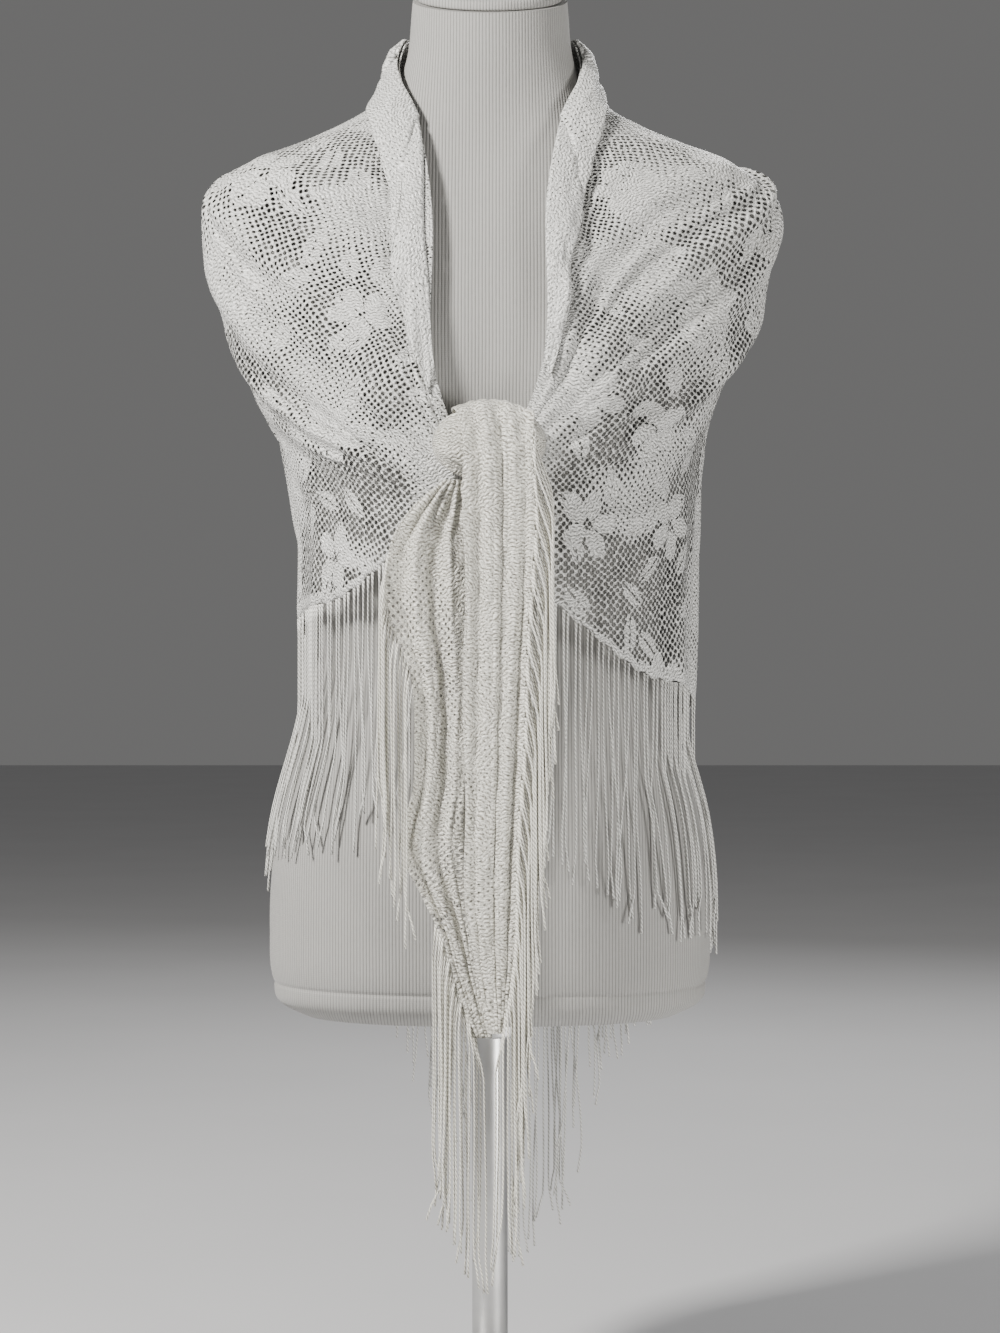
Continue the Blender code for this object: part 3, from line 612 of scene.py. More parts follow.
def tail_points(
    sections: Sequence[TailSection],
    pleats: float,
    depth: float,
    across: Array,
    down: Array,
    fine: Sequence[Pleat] = (),
) -> Array:
    """Points of a tail.

    Args:
        sections: the tail's levels.
        pleats: how many pleats lie between its two edges.
        depth: how deep they are.
        across: 0 at the plain edge and 1 at the fringed hem.
        down: 0 at the knot and 1 at the tip.
        fine: the lesser pleats, if they are wanted too.

    Returns:
        An array of points.
    """
    keys = np.linspace(0.0, 1.0, len(sections))
    y, z, edge_x, hem_x = spline(keys, sections, down).T
    x = edge_x + (hem_x - edge_x) * across
    width = np.abs(hem_x - edge_x)
    swell = depth * smooth_step(down, 0.0, 0.25) * smooth_step(width, 0.006, 0.040)
    drift = 1.5 * np.sin(math.pi * across) * np.sin(3.0 * down)
    fold = np.cos(2 * math.pi * pleats * (1 - across) + drift)
    y = y - swell * fold
    if fine:
        inside = smooth_step(across, 0.0, 0.10) * smooth_step(1 - across, 0.0, 0.10)
        y = y + 0.45 * swell * fold * (0.5 + 0.5 * np.sin(9.0 * down + 5.0 * across))
        for pleat in fine:
            spot = pleat.across + pleat.drift * np.sin(5.0 * down + 9.0 * pleat.across)
            swing = 0.65 + 0.35 * np.sin(11.0 * down + 17.0 * pleat.across)
            y = y - pleat.depth * swing * inside * bump(across, spot, pleat.width)
        y = y - 0.0005 * inside * (1 + ripple(23.0 * across, 52.0 * down))
        x = x + 0.0009 * (1 - inside) * np.sin(29.0 * down + 2.0 * across)
    return np.stack([x, y, z], axis=1)


# Shader nodes


class Tree:
    """A short way to add and join the nodes of one tree."""

    def __init__(self, tree: bpy.types.NodeTree) -> None:
        """Keeps the tree that the nodes go into."""
        self.tree = tree

    def add(self, kind: str, **settings: object) -> bpy.types.Node:
        """Adds a node and sets its properties."""
        node = self.tree.nodes.new(kind)
        for name, value in settings.items():
            setattr(node, name, value)
        return node

    def put(self, socket: bpy.types.NodeSocket, value: object) -> None:
        """Joins a socket to another, or sets its value."""
        if isinstance(value, bpy.types.NodeSocket):
            self.tree.links.new(value, socket)
        else:
            socket.default_value = value

    def math(self, operation: str, *values: object, clamp: bool = False) -> bpy.types.NodeSocket:
        """A Math node's result for up to three values."""
        node = self.add("ShaderNodeMath", operation=operation, use_clamp=clamp)
        for socket, value in zip(node.inputs, values):
            self.put(socket, value)
        return node.outputs[0]

    def vector(self, operation: str, *values: object, out: str = "Vector") -> bpy.types.NodeSocket:
        """A Vector Math node's result; a single number goes to its Scale."""
        node = self.add("ShaderNodeVectorMath", operation=operation)
        free = [node.inputs[0], node.inputs[1], node.inputs[2]]
        for value in values:
            if isinstance(value, float):
                node.inputs["Scale"].default_value = value
            else:
                self.put(free.pop(0), value)
        return node.outputs[out]

    def ramp(
        self, value: object, low: object, high: object, to_low: object = 0.0, to_high: object = 1.0
    ) -> bpy.types.NodeSocket:
        """A soft change from to_low at low to to_high at high."""
        node = self.add("ShaderNodeMapRange", interpolation_type="SMOOTHSTEP")
        for name, item in (
            ("Value", value),
            ("From Min", low),
            ("From Max", high),
            ("To Min", to_low),
            ("To Max", to_high),
        ):
            self.put(node.inputs[name], item)
        return node.outputs[0]

    def mix(self, factor: object, a: object, b: object) -> bpy.types.NodeSocket:
        """A colour between two."""
        node = self.add("ShaderNodeMix", data_type="RGBA")
        self.put(node.inputs["Factor"], factor)
        self.put(node.inputs["A"], a)
        self.put(node.inputs["B"], b)
        return node.outputs["Result"]

    def noise(
        self, place: object, scale: float, detail: float = 2.0, out: str = "Fac"
    ) -> bpy.types.NodeSocket:
        """A cloudy value over a place."""
        node = self.add("ShaderNodeTexNoise", noise_dimensions="3D")
        self.put(node.inputs["Vector"], place)
        node.inputs["Scale"].default_value = scale
        node.inputs["Detail"].default_value = detail
        return node.outputs["Fac" if out == "Fac" else "Color"]

    def cells(
        self, place: object, scale: float, randomness: float, feature: str = "F1"
    ) -> bpy.types.Node:
        """A flat Voronoi node over a place."""
        node = self.add("ShaderNodeTexVoronoi", voronoi_dimensions="2D", feature=feature)
        self.put(node.inputs["Vector"], place)
        node.inputs["Scale"].default_value = scale
        node.inputs["Randomness"].default_value = randomness
        return node

    def parts(self, place: object) -> bpy.types.NodeSocketVirtual:
        """A vector's three numbers, as output sockets."""
        node = self.add("ShaderNodeSeparateXYZ")
        self.put(node.inputs[0], place)
        return node.outputs

    def join(self, x: object, y: object, z: object = 0.0) -> bpy.types.NodeSocket:
        """A vector of three numbers."""
        node = self.add("ShaderNodeCombineXYZ")
        for socket, value in zip(node.inputs, (x, y, z)):
            self.put(socket, value)
        return node.outputs[0]


def new_group(
    name: str, inputs: Sequence[tuple[str, str, float]], outputs: Sequence[str]
) -> tuple[bpy.types.NodeTree, Tree, bpy.types.Node, bpy.types.Node]:
    """Makes an empty shader group.

    Args:
        name: the group's name.
        inputs: each input's name, socket type and starting value.
        outputs: the names of its outputs, all of them numbers.

    Returns:
        The group, a Tree on it, its input node and its output node.
    """
    group = bpy.data.node_groups.new(name, "ShaderNodeTree")
    for label, kind, start in inputs:
        socket = group.interface.new_socket(label, in_out="INPUT", socket_type=kind)
        if kind == "NodeSocketFloat":
            socket.default_value = start
    for label in outputs:
        group.interface.new_socket(label, in_out="OUTPUT", socket_type="NodeSocketFloat")
    tree = Tree(group)
    return group, tree, tree.add("NodeGroupInput"), tree.add("NodeGroupOutput")


@dataclass(frozen=True)
class Pattern:
    """Sizes of the knitting, in metres.

    Attributes:
        net: distance between two holes of the net.
        net_uneven: how unevenly they lie, 0 to 1.
        net_turn_deg: how far the net is turned on the cloth.
        bend: how far the whole pattern is drawn out of true.
        sway: how far single stitches are.
        flowers: distance between two flowers.
        petal_low: a flower's radius between two petals.
        petal_high: how much further a petal reaches.
        flower_soft: how softly its edge ends.
        leaves: distance between two leaves.
        leaf_at: where the leaves lie from the flowers.
        leaf_length: half a leaf's length.
        leaf_width: half its width.
        leaf_soft: how softly its edge ends.
        patch: size of a patch whose rows lean one way.
        row: distance between two rows of loops.
        zig: half the length of a row's zigzag.
        twist: length of one turn of a cord.
    """

    net: float = 0.0038
    net_uneven: float = 0.24
    net_turn_deg: float = 45.0
    bend: float = 0.016
    sway: float = 0.0022
    flowers: float = 0.092
    petal_low: float = 0.0120
    petal_high: float = 0.0130
    flower_soft: float = 0.0030
    leaves: float = 0.036
    leaf_at: tuple[float, float, float] = (0.031, 0.017, 0.0)
    leaf_length: float = 0.0165
    leaf_width: float = 0.0070
    leaf_soft: float = 0.0022
    patch: float = 0.030
    row: float = 0.0026
    zig: float = 0.0030
    twist: float = 0.0031


class Groups:
    """The shader groups that the finishes share."""

    def __init__(self) -> None:
        """Builds each group once."""
        self.pattern = Pattern()
        self.lace = self.build_lace()
        self.cord = self.build_cord()
        self.mottle = self.build_mottle()

    def build_lace(self) -> bpy.types.NodeTree:
        """Knitted lace on a place in metres: a net with flowers and leaves knitted close.

        Returns:
            A group with Cover, Height and Shade.
        """
        group, t, given, made = new_group(
            "KnittedLace",
            (
                ("Place", "NodeSocketVector", 0.0),
                ("Hole", "NodeSocketFloat", 0.34),
                ("Motif", "NodeSocketFloat", 1.0),
                ("Open", "NodeSocketFloat", 1.0),
            ),
            ("Cover", "Height", "Shade"),
        )
        place = given.outputs["Place"]
        bend = t.vector("SUBTRACT", t.noise(place, 13.0, 1.0, "Color"), (0.5, 0.5, 0.5))
        sway = t.vector("SUBTRACT", t.noise(place, 110.0, 1.0, "Color"), (0.5, 0.5, 0.5))
        bend = t.vector("SCALE", bend, self.pattern.bend)
        sway = t.vector("SCALE", sway, self.pattern.sway)
        swayed = t.vector("ADD", place, t.vector("ADD", bend, sway))
        dense = t.math("MAXIMUM", self.flowers(t, swayed), self.leaves(t, swayed))
        dense = t.math("MULTIPLY", dense, given.outputs["Motif"])
        drift = t.ramp(t.noise(place, 12.0, 1.5), 0.36, 0.58, 0.42, 1.0)
        net = t.math("MULTIPLY", t.math("SUBTRACT", 1.0, dense, clamp=True), drift)
        net = t.math("MULTIPLY", net, given.outputs["Open"], clamp=True)
        turned = t.add("ShaderNodeMapping", vector_type="POINT")
        t.put(turned.inputs["Vector"], swayed)
        turned.inputs["Rotation"].default_value[2] = math.radians(self.pattern.net_turn_deg)
        net_cell = t.cells(turned.outputs[0], 1 / self.pattern.net, self.pattern.net_uneven)
        far = net_cell.outputs["Distance"]
        reach = t.math("MULTIPLY_ADD", t.math("MULTIPLY", net, given.outputs["Hole"]), 1.25, -0.07)
        cover = t.ramp(far, t.math("SUBTRACT", reach, 0.05), t.math("ADD", reach, 0.05))
        rim = t.ramp(far, t.math("SUBTRACT", reach, 0.02), t.math("ADD", reach, 0.16))
        rows, dash = self.stitches(t, swayed)
        fleck = t.ramp(dash, 0.40, 0.60)
        # Painted glints: fine bright specks of painted highlight in the yarn's colour, where its
        # roughness is lower too.
        painted_glint = t.ramp(t.noise(place, 1150.0, 1.0), 0.48, 0.64)
        # The knit's tone: painted shade in the gaps between the rows and between the loops along
        # them, with the yarn lighter on their tops.
        knit = t.math("MULTIPLY_ADD", t.ramp(rows, 0.05, 0.60), 0.48, -0.06)
        knit = t.math("MULTIPLY_ADD", fleck, 0.48, knit)
        knit = t.math("MULTIPLY_ADD", painted_glint, 0.34, knit)
        # The net's yarn: an even tone with the loops' painted shade and the painted glints.
        net_yarn = t.math("MULTIPLY_ADD", fleck, 0.32, 0.40)
        net_yarn = t.math("MULTIPLY_ADD", painted_glint, 0.28, net_yarn)
        inside = t.ramp(net, 0.25, 0.75)
        shade = t.math("MULTIPLY_ADD", inside, t.math("SUBTRACT", net_yarn, knit), knit)
        height = t.math("MULTIPLY_ADD", rows, 0.50, t.math("MULTIPLY", rim, 0.45))
        height = t.math("MULTIPLY_ADD", fleck, 0.40, height)
        t.put(made.inputs["Cover"], cover)
        t.put(made.inputs["Height"], height)
        # The yarn's tone is darkened towards each hole's edge: painted shade where the yarn rounds
        # down into the hole.
        t.put(made.inputs["Shade"], t.math("MULTIPLY", shade, rim, clamp=True))
        return group

    def flowers(self, t: Tree, place: bpy.types.NodeSocket) -> bpy.types.NodeSocket:
        """A mask of soft five-petalled flowers strewn over the cloth."""
        size = self.pattern
        cell = t.cells(place, 1 / size.flowers, 0.60)
        local = t.vector("SUBTRACT", place, cell.outputs["Position"])
        x, y, _ = list(t.parts(local))
        spin = t.math("MULTIPLY", t.parts(cell.outputs["Color"])[0], 2 * math.pi)
        angle = t.math("ADD", t.math("ARCTAN2", y, x), spin)
        far = t.vector("LENGTH", local, out="Value")
        petal = t.math("ABSOLUTE", t.math("COSINE", t.math("MULTIPLY", angle, 2.5)))
        edge = t.math("MULTIPLY_ADD", petal, size.petal_high, size.petal_low)
        whole = t.ramp(far, t.math("SUBTRACT", edge, size.flower_soft), edge, 1.0, 0.0)
        heart = t.ramp(far, 0.0030, 0.0050)
        vein = t.ramp(petal, 0.04, 0.30)
        return t.math("MULTIPLY", t.math("MULTIPLY", whole, heart), vein)

    def leaves(self, t: Tree, place: bpy.types.NodeSocket) -> bpy.types.NodeSocket:
        """A mask of pointed leaves between the flowers."""
        size = self.pattern
        cell = t.cells(t.vector("ADD", place, size.leaf_at), 1 / size.leaves, 0.85)
        centre = t.vector("SUBTRACT", cell.outputs["Position"], size.leaf_at)
        x, y, _ = list(t.parts(t.vector("SUBTRACT", place, centre)))
        spin = t.math("MULTIPLY", t.parts(cell.outputs["Color"])[1], math.pi)
        along, aside = self.turned(t, x, y, spin)
        along = t.math("DIVIDE", along, size.leaf_length)
        half = t.math("SUBTRACT", 1.0, t.math("MULTIPLY", along, along), clamp=True)
        edge = t.math("MULTIPLY", half, size.leaf_width)
        aside = t.math("ABSOLUTE", aside)
        leaf = t.ramp(aside, t.math("SUBTRACT", edge, size.leaf_soft), edge, 1.0, 0.0)
        rib = t.ramp(aside, 0.0002, 0.0013)
        return t.math("MULTIPLY", leaf, t.math("MULTIPLY", rib, t.ramp(half, 0.02, 0.14)))

    def turned(
        self, t: Tree, x: object, y: object, spin: object
    ) -> tuple[bpy.types.NodeSocket, bpy.types.NodeSocket]:
        """Two numbers turned by an angle."""
        cos, sin = t.math("COSINE", spin), t.math("SINE", spin)
        along = t.math("ADD", t.math("MULTIPLY", x, cos), t.math("MULTIPLY", y, sin))
        aside = t.math("SUBTRACT", t.math("MULTIPLY", y, cos), t.math("MULTIPLY", x, sin))
        return along, aside

    def stitches(
        self, t: Tree, place: bpy.types.NodeSocket
    ) -> tuple[bpy.types.NodeSocket, bpy.types.NodeSocket]:
        """Wavy rows of loops, which lean another way in each part of the pattern.

        Args:
            t: the tree.
            place: the place in metres.

        Returns:
            The rows' height, and a cloudy value in short dashes along them.
        """
        cell = t.cells(place, 1 / self.pattern.patch, 0.9)
        spin = t.math("MULTIPLY_ADD", t.parts(cell.outputs["Color"])[2], 1.5, -0.75)
        x, y, _ = list(t.parts(place))
        along, aside = self.turned(t, x, y, spin)
        zig = t.math("PINGPONG", t.math("MULTIPLY", along, 1 / self.pattern.zig), 1.0)
        phase = t.math("MULTIPLY_ADD", zig, 0.55, t.math("MULTIPLY", aside, 1 / self.pattern.row))
        row = t.math("SINE", t.math("MULTIPLY", phase, 2 * math.pi))
        dash = t.noise(t.join(along, t.math("MULTIPLY", aside, 2.3)), 440.0, 1.5)
        return t.math("MULTIPLY_ADD", row, 0.5, 0.5), dash

    def build_cord(self) -> bpy.types.NodeTree:
        """A twisted cord on a place of turns round by metres along.

        Returns:
            A group with Height and Shade.
        """
        group, t, given, made = new_group(
            "TwistedCord", (("Place", "NodeSocketVector", 0.0),), ("Height", "Shade")
        )
        around, along, _ = list(t.parts(given.outputs["Place"]))
        turns = t.math("MULTIPLY", along, 1 / self.pattern.twist)
        phase = t.math("ADD", t.math("MULTIPLY", around, 2.0), turns)
        twist = t.math("ABSOLUTE", t.math("SINE", t.math("MULTIPLY", phase, math.pi)))
        t.put(made.inputs["Height"], twist)
        fibre = t.noise(given.outputs["Place"], 420.0, 2.0)
        own = t.noise(t.join(t.math("FLOOR", around), 0.0, 0.0), 7.3, 0.0)
        # Painted shade in the grooves between the cord's turns; the fibre's and each cord's own tone
        # vary at random.
        shade = t.math("MULTIPLY_ADD", twist, 0.70, 0.22)
        shade = t.math("ADD", shade, t.math("MULTIPLY", t.math("SUBTRACT", fibre, 0.5), 0.35))
        own = t.math("MULTIPLY", t.math("SUBTRACT", own, 0.5), 0.25)
        t.put(made.inputs["Shade"], t.math("ADD", shade, own, clamp=True))
        return group

    def build_mottle(self) -> bpy.types.NodeTree:
        """Slight clouds of tone on a place in metres.

        Returns:
            A group with Tone.
        """
        group, t, given, made = new_group(
            "Mottle",
            (("Place", "NodeSocketVector", 0.0), ("Amount", "NodeSocketFloat", 0.1)),
            ("Tone",),
        )
        large = t.math("SUBTRACT", t.noise(given.outputs["Place"], 9.0, 3.0), 0.5)
        small = t.math("SUBTRACT", t.noise(given.outputs["Place"], 300.0, 2.0), 0.5)
        both = t.math("ADD", large, t.math("MULTIPLY", small, 0.5))
        t.put(made.inputs["Tone"], t.math("MULTIPLY_ADD", both, given.outputs["Amount"], 1.0))
        return group


# Finishes


class Slot(Enum):
    """The record's material slots."""

    LACE = "ivory_lace_knit"
    CORD = "ivory_fringe_cord"
    JERSEY = "ribbed_jersey"
    METAL = "pale_metal"


def start_material(name: str) -> tuple[bpy.types.Material, Tree, bpy.types.Node]:
    """A new material with its tree and its Principled shader."""
    made = bpy.data.materials.new(name)
    made.use_nodes = True
    return made, Tree(made.node_tree), made.node_tree.nodes["Principled BSDF"]


def use_group(t: Tree, group: bpy.types.NodeTree, **values: object) -> bpy.types.NodeOutputs:
    """Places a shared group in a material and sets its inputs."""
    node = t.add("ShaderNodeGroup", node_tree=group)
    for name, value in values.items():
        t.put(node.inputs[name], value)
    return node.outputs


def add_bump(t: Tree, shader: bpy.types.Node, height: object, strength: float, deep: float) -> None:
    """Feeds a height to the shader's Normal."""
    node = t.add("ShaderNodeBump")
    node.inputs["Strength"].default_value = strength
    node.inputs["Distance"].default_value = deep
    t.put(node.inputs["Height"], height)
    t.put(shader.inputs["Normal"], node.outputs[0])


def set_sheen(shader: bpy.types.Node, weight: float, roughness: float) -> None:
    """Gives a shader the soft sheen of yarn."""
    shader.inputs["Sheen Weight"].default_value = weight
    shader.inputs["Sheen Roughness"].default_value = roughness


def toned(t: Tree, colour: object, tone: object) -> bpy.types.NodeSocket:
    """A colour made a little lighter or darker by a tone near 1."""
    return t.vector("MULTIPLY", colour, t.join(tone, tone, tone))


@dataclass(frozen=True)
class LaceFinish:
    """Silky knitted lace.

    Attributes:
        name: the material's name.
        light: colour of the yarn where it faces the light.
        dark: colour of the painted shade between the stitches.
        hole: radius of a net hole, as a share of the net's pitch.
        motif: how far the flowers and leaves close the net.
        bump: strength of the stitches' relief.
        relief: height of that relief.
        mottle: how far the tone drifts.
        sheen: weight and roughness of the sheen.
        gloss: level of the yarn's reflections.
    """

    name: str
    light: Colour
    dark: Colour
    hole: float
    motif: float
    bump: float
    relief: float = 0.0009
    mottle: float = 0.16
    sheen: tuple[float, float] = (0.35, 0.35)
    gloss: float = 0.55

    def material(self, groups: Groups) -> bpy.types.Material:
        """Builds the material."""
        made, t, shader = start_material(self.name)
        place = t.add("ShaderNodeUVMap", uv_map="UVMap").outputs[0]
        openness = t.add("ShaderNodeAttribute", attribute_name="openness").outputs["Fac"]
        lace = use_group(
            t, groups.lace, Place=place, Hole=self.hole, Motif=self.motif, Open=openness
        )
        tone = use_group(t, groups.mottle, Place=place, Amount=self.mottle)["Tone"]
        # The yarn's colour, with painted shade between the stitches and round the holes, and painted
        # glints, from the lace's Shade.
        colour = t.mix(lace["Shade"], (*self.dark, 1.0), (*self.light, 1.0))
        t.put(shader.inputs["Base Color"], toned(t, colour, tone))
        t.put(shader.inputs["Roughness"], t.ramp(lace["Shade"], 0.3, 1.0, 0.60, 0.30))
        t.put(shader.inputs["Alpha"], lace["Cover"])
        add_bump(t, shader, lace["Height"], self.bump, self.relief)
        set_sheen(shader, *self.sheen)
        shader.inputs["Specular IOR Level"].default_value = self.gloss
        return made


@dataclass(frozen=True)
class CordFinish:
    """Twisted silky cord.

    Attributes:
        name: the material's name.
        light: colour of the yarn where it faces the light.
        dark: colour of the painted shade between its turns.
        relief: height of its turns.
        sheen: weight and roughness of the sheen.
    """

    name: str
    light: Colour
    dark: Colour
    relief: float = 0.0005
    sheen: tuple[float, float] = (0.30, 0.35)

    def material(self, groups: Groups) -> bpy.types.Material:
        """Builds the material."""
        made, t, shader = start_material(self.name)
        place = t.add("ShaderNodeUVMap", uv_map="UVMap").outputs[0]
        cord = use_group(t, groups.cord, Place=place)
        colour = t.mix(cord["Shade"], (*self.dark, 1.0), (*self.light, 1.0))
        t.put(shader.inputs["Base Color"], colour)
        t.put(shader.inputs["Roughness"], t.ramp(cord["Shade"], 0.2, 1.0, 0.60, 0.36))
        add_bump(t, shader, cord["Height"], 0.8, self.relief)
        set_sheen(shader, *self.sheen)
        return made


@dataclass(frozen=True)
class JerseyFinish:
    """Fine vertical rib of the dress form's cover.

    Attributes:
        light: colour on the ribs.
        dark: colour of the painted shade between them.
        pitch: distance between two ribs.
        loop: length of a loop along a rib.
        relief: height of the ribs.
        mottle: how far the tone drifts.
        sheen: weight and roughness of the sheen.
    """

    light: Colour = (0.36, 0.355, 0.34)
    dark: Colour = (0.19, 0.185, 0.175)
    pitch: float = 0.0023
    loop: float = 0.0013
    relief: float = 0.0006
    mottle: float = 0.22
    sheen: tuple[float, float] = (0.20, 0.50)

    def material(self, groups: Groups) -> bpy.types.Material:
        """Builds the material."""
        made, t, shader = start_material("ribbed_jersey_cover")
        place = t.add("ShaderNodeUVMap", uv_map="UVMap").outputs[0]
        x, y, _ = list(t.parts(place))
        wobble = t.math("MULTIPLY", t.math("SUBTRACT", t.noise(place, 22.0, 2.0), 0.5), 0.7)
        phase = t.math("ADD", t.math("MULTIPLY", x, math.pi / self.pitch), wobble)
        rib = t.math("POWER", t.math("ABSOLUTE", t.math("SINE", phase)), 0.7)
        loop = t.math("SINE", t.math("MULTIPLY", y, 2 * math.pi / self.loop))
        height = t.math("MULTIPLY_ADD", loop, 0.10, rib)
        tone = use_group(t, groups.mottle, Place=place, Amount=self.mottle)["Tone"]
        # Painted shade in the grooves between the ribs.
        colour = t.mix(t.ramp(rib, 0.1, 0.8), (*self.dark, 1.0), (*self.light, 1.0))
        t.put(shader.inputs["Base Color"], toned(t, colour, tone))
        t.put(shader.inputs["Roughness"], t.ramp(rib, 0.0, 1.0, 0.95, 0.80))
        add_bump(t, shader, height, 0.55, self.relief)
        set_sheen(shader, *self.sheen)
        return made


@dataclass(frozen=True)
class MetalFinish:
    """Pale satin metal of the stand, a little brighter here and there.

    Attributes:
        light: its colour where it is brighter.
        dark: its colour elsewhere.
        relief: height of its fine grain.
        mottle: how far the tone drifts.
    """

    light: Colour = (0.64, 0.64, 0.63)
    dark: Colour = (0.59, 0.59, 0.585)
    relief: float = 0.0002
    mottle: float = 0.06

    def material(self, groups: Groups) -> bpy.types.Material:
        """Builds the material."""
        made, t, shader = start_material("pale_satin_metal")
        place = t.add("ShaderNodeTexCoord").outputs["Object"]
        tone = use_group(t, groups.mottle, Place=place, Amount=self.mottle)["Tone"]
        cloud = t.noise(place, 45.0, 3.0)
        colour = t.mix(t.ramp(cloud, 0.35, 0.65), (*self.dark, 1.0), (*self.light, 1.0))
        t.put(shader.inputs["Base Color"], toned(t, colour, tone))
        t.put(shader.inputs["Roughness"], t.ramp(cloud, 0.3, 0.7, 0.36, 0.42))
        shader.inputs["Metallic"].default_value = 1.0
        add_bump(t, shader, t.noise(place, 900.0, 2.0), 0.12, self.relief)
        return made


# Meshes


def start_piece(add: Callable, name: str, **sizes: float) -> bpy.types.Object:
    """Adds a primitive with nothing else selected, and names it."""
    bpy.ops.object.select_all(action="DESELECT")
    add(**sizes)
    made = bpy.context.object
    made.name = made.data.name = name
    return made


def start_grid(name: str, columns: int, rows: int, size: float = 1.0) -> bpy.types.Object:
    """Adds a flat grid in the middle."""
    add = bpy.ops.mesh.primitive_grid_add
    return start_piece(add, name, x_subdivisions=columns, y_subdivisions=rows, size=size)


def start_disc(name: str, around: int, radius: float, depth: float) -> bpy.types.Object:
    """Adds an upright cylinder in the middle."""
    add = bpy.ops.mesh.primitive_cylinder_add
    return start_piece(add, name, vertices=around, radius=radius, depth=depth)


def link(name: str, data: bpy.types.ID) -> bpy.types.Object:
    """Puts a new object with the given data into the scene."""
    made = bpy.data.objects.new(name, data)
    bpy.context.scene.collection.objects.link(made)
    return made


def set_points(mesh: bpy.types.Mesh, points: Array) -> None:
    """Puts a mesh's vertices at points."""
    mesh.vertices.foreach_set("co", np.asarray(points, np.float32).ravel())
    mesh.update()


def get_points(mesh: bpy.types.Mesh) -> Array:
    """A mesh's vertices."""
    co = np.empty(len(mesh.vertices) * 3, np.float32)
    mesh.vertices.foreach_get("co", co)
    return co.reshape(-1, 3).astype(float)


def corner_vertices(mesh: bpy.types.Mesh) -> Array:
    """The vertex of every face corner."""
    corner = np.empty(len(mesh.loops), np.int32)
    mesh.loops.foreach_get("vertex_index", corner)
    return corner


def lay_flat(
    shape: Callable[[Array, Array], Array], columns: int, rows: int, across: Array, down: Array
) -> Array:
    """Where points of a sheet lie on the flat cloth, in metres.

    A coarse copy of the sheet is laid flat with the least stretch, turned upright and read at
    each point.

    Args:
        shape: gives the sheet's points from places across and down, 0 to 1.
        columns: the coarse copy's faces across.
        rows: its faces down.
        across: the points' places across.
        down: their places down.

    Returns:
        Two numbers a point.
    """
    coarse = start_grid("coarse_copy", columns, rows)
    start = get_points(coarse.data)
    points = shape(start[:, 0] + 0.5, start[:, 1] + 0.5)
    set_points(coarse.data, points)
    bpy.ops.object.mode_set(mode="EDIT")
    bpy.ops.mesh.select_all(action="SELECT")
    bpy.ops.uv.unwrap(method="MINIMUM_STRETCH", margin=0.0)
    bpy.ops.object.mode_set(mode="OBJECT")
    corner = corner_vertices(coarse.data)
    spots = np.empty(len(corner) * 2, np.float32)
    coarse.data.uv_layers.active.data.foreach_get("uv", spots)
    places = np.empty((len(points), 2))
    places[corner] = spots.reshape(-1, 2)
    order = np.lexsort((start[:, 0], np.round(start[:, 1], 5)))
    grid = places[order].reshape(rows + 1, columns + 1, 2)
    solid = points[order].reshape(rows + 1, columns + 1, 3)
    run = np.linalg.norm(np.diff(solid, axis=0), axis=2).sum()
    grid *= run / np.linalg.norm(np.diff(grid, axis=0), axis=2).sum()
    fall = (grid[-1] - grid[0]).mean(axis=0)
    fall /= np.linalg.norm(fall)
    side = np.array([fall[1], -fall[0]])
    side *= math.copysign(1.0, (grid[:, -1] - grid[:, 0]).mean(axis=0) @ side)
    grid = np.stack([grid @ side, grid @ fall], axis=-1)
    bpy.data.meshes.remove(coarse.data)
    at_x, at_y = across * columns, down * rows
    i = np.clip(at_x.astype(int), 0, columns - 1)
    j = np.clip(at_y.astype(int), 0, rows - 1)
    x, y = (at_x - i)[:, None], (at_y - j)[:, None]
    upper = grid[j, i] * (1 - x) + grid[j, i + 1] * x
    lower = grid[j + 1, i] * (1 - x) + grid[j + 1, i + 1] * x
    return upper * (1 - y) + lower * y


def set_corner_uv(mesh: bpy.types.Mesh, places: Array) -> None:
    """Gives every corner its place."""
    layer = mesh.uv_layers.get("UVMap") or mesh.uv_layers.new(name="UVMap")
    layer.data.foreach_set("uv", places.astype(np.float32).ravel())


def set_uv(mesh: bpy.types.Mesh, places: Array) -> None:
    """Gives every corner the place of its vertex."""
    set_corner_uv(mesh, places[corner_vertices(mesh)])


def set_openness(mesh: bpy.types.Mesh, values: Array) -> None:
    """Stores how open the net is at each vertex."""
    spread = mesh.attributes.new("openness", "FLOAT", "POINT")
    spread.data.foreach_set("value", values.astype(np.float32))


def round_rims(piece: bpy.types.Object, width: float) -> None:
    """Rounds a piece's sharp rims and smooths the rest."""
    bpy.context.view_layer.objects.active = piece
    soften = piece.modifiers.new("Rim", "BEVEL")
    soften.width = width
    soften.segments = RIM_SEGMENTS
    bpy.ops.object.modifier_apply(modifier="Rim")
    bpy.ops.object.shade_smooth_by_angle(angle=math.radians(SHARP_DEG))


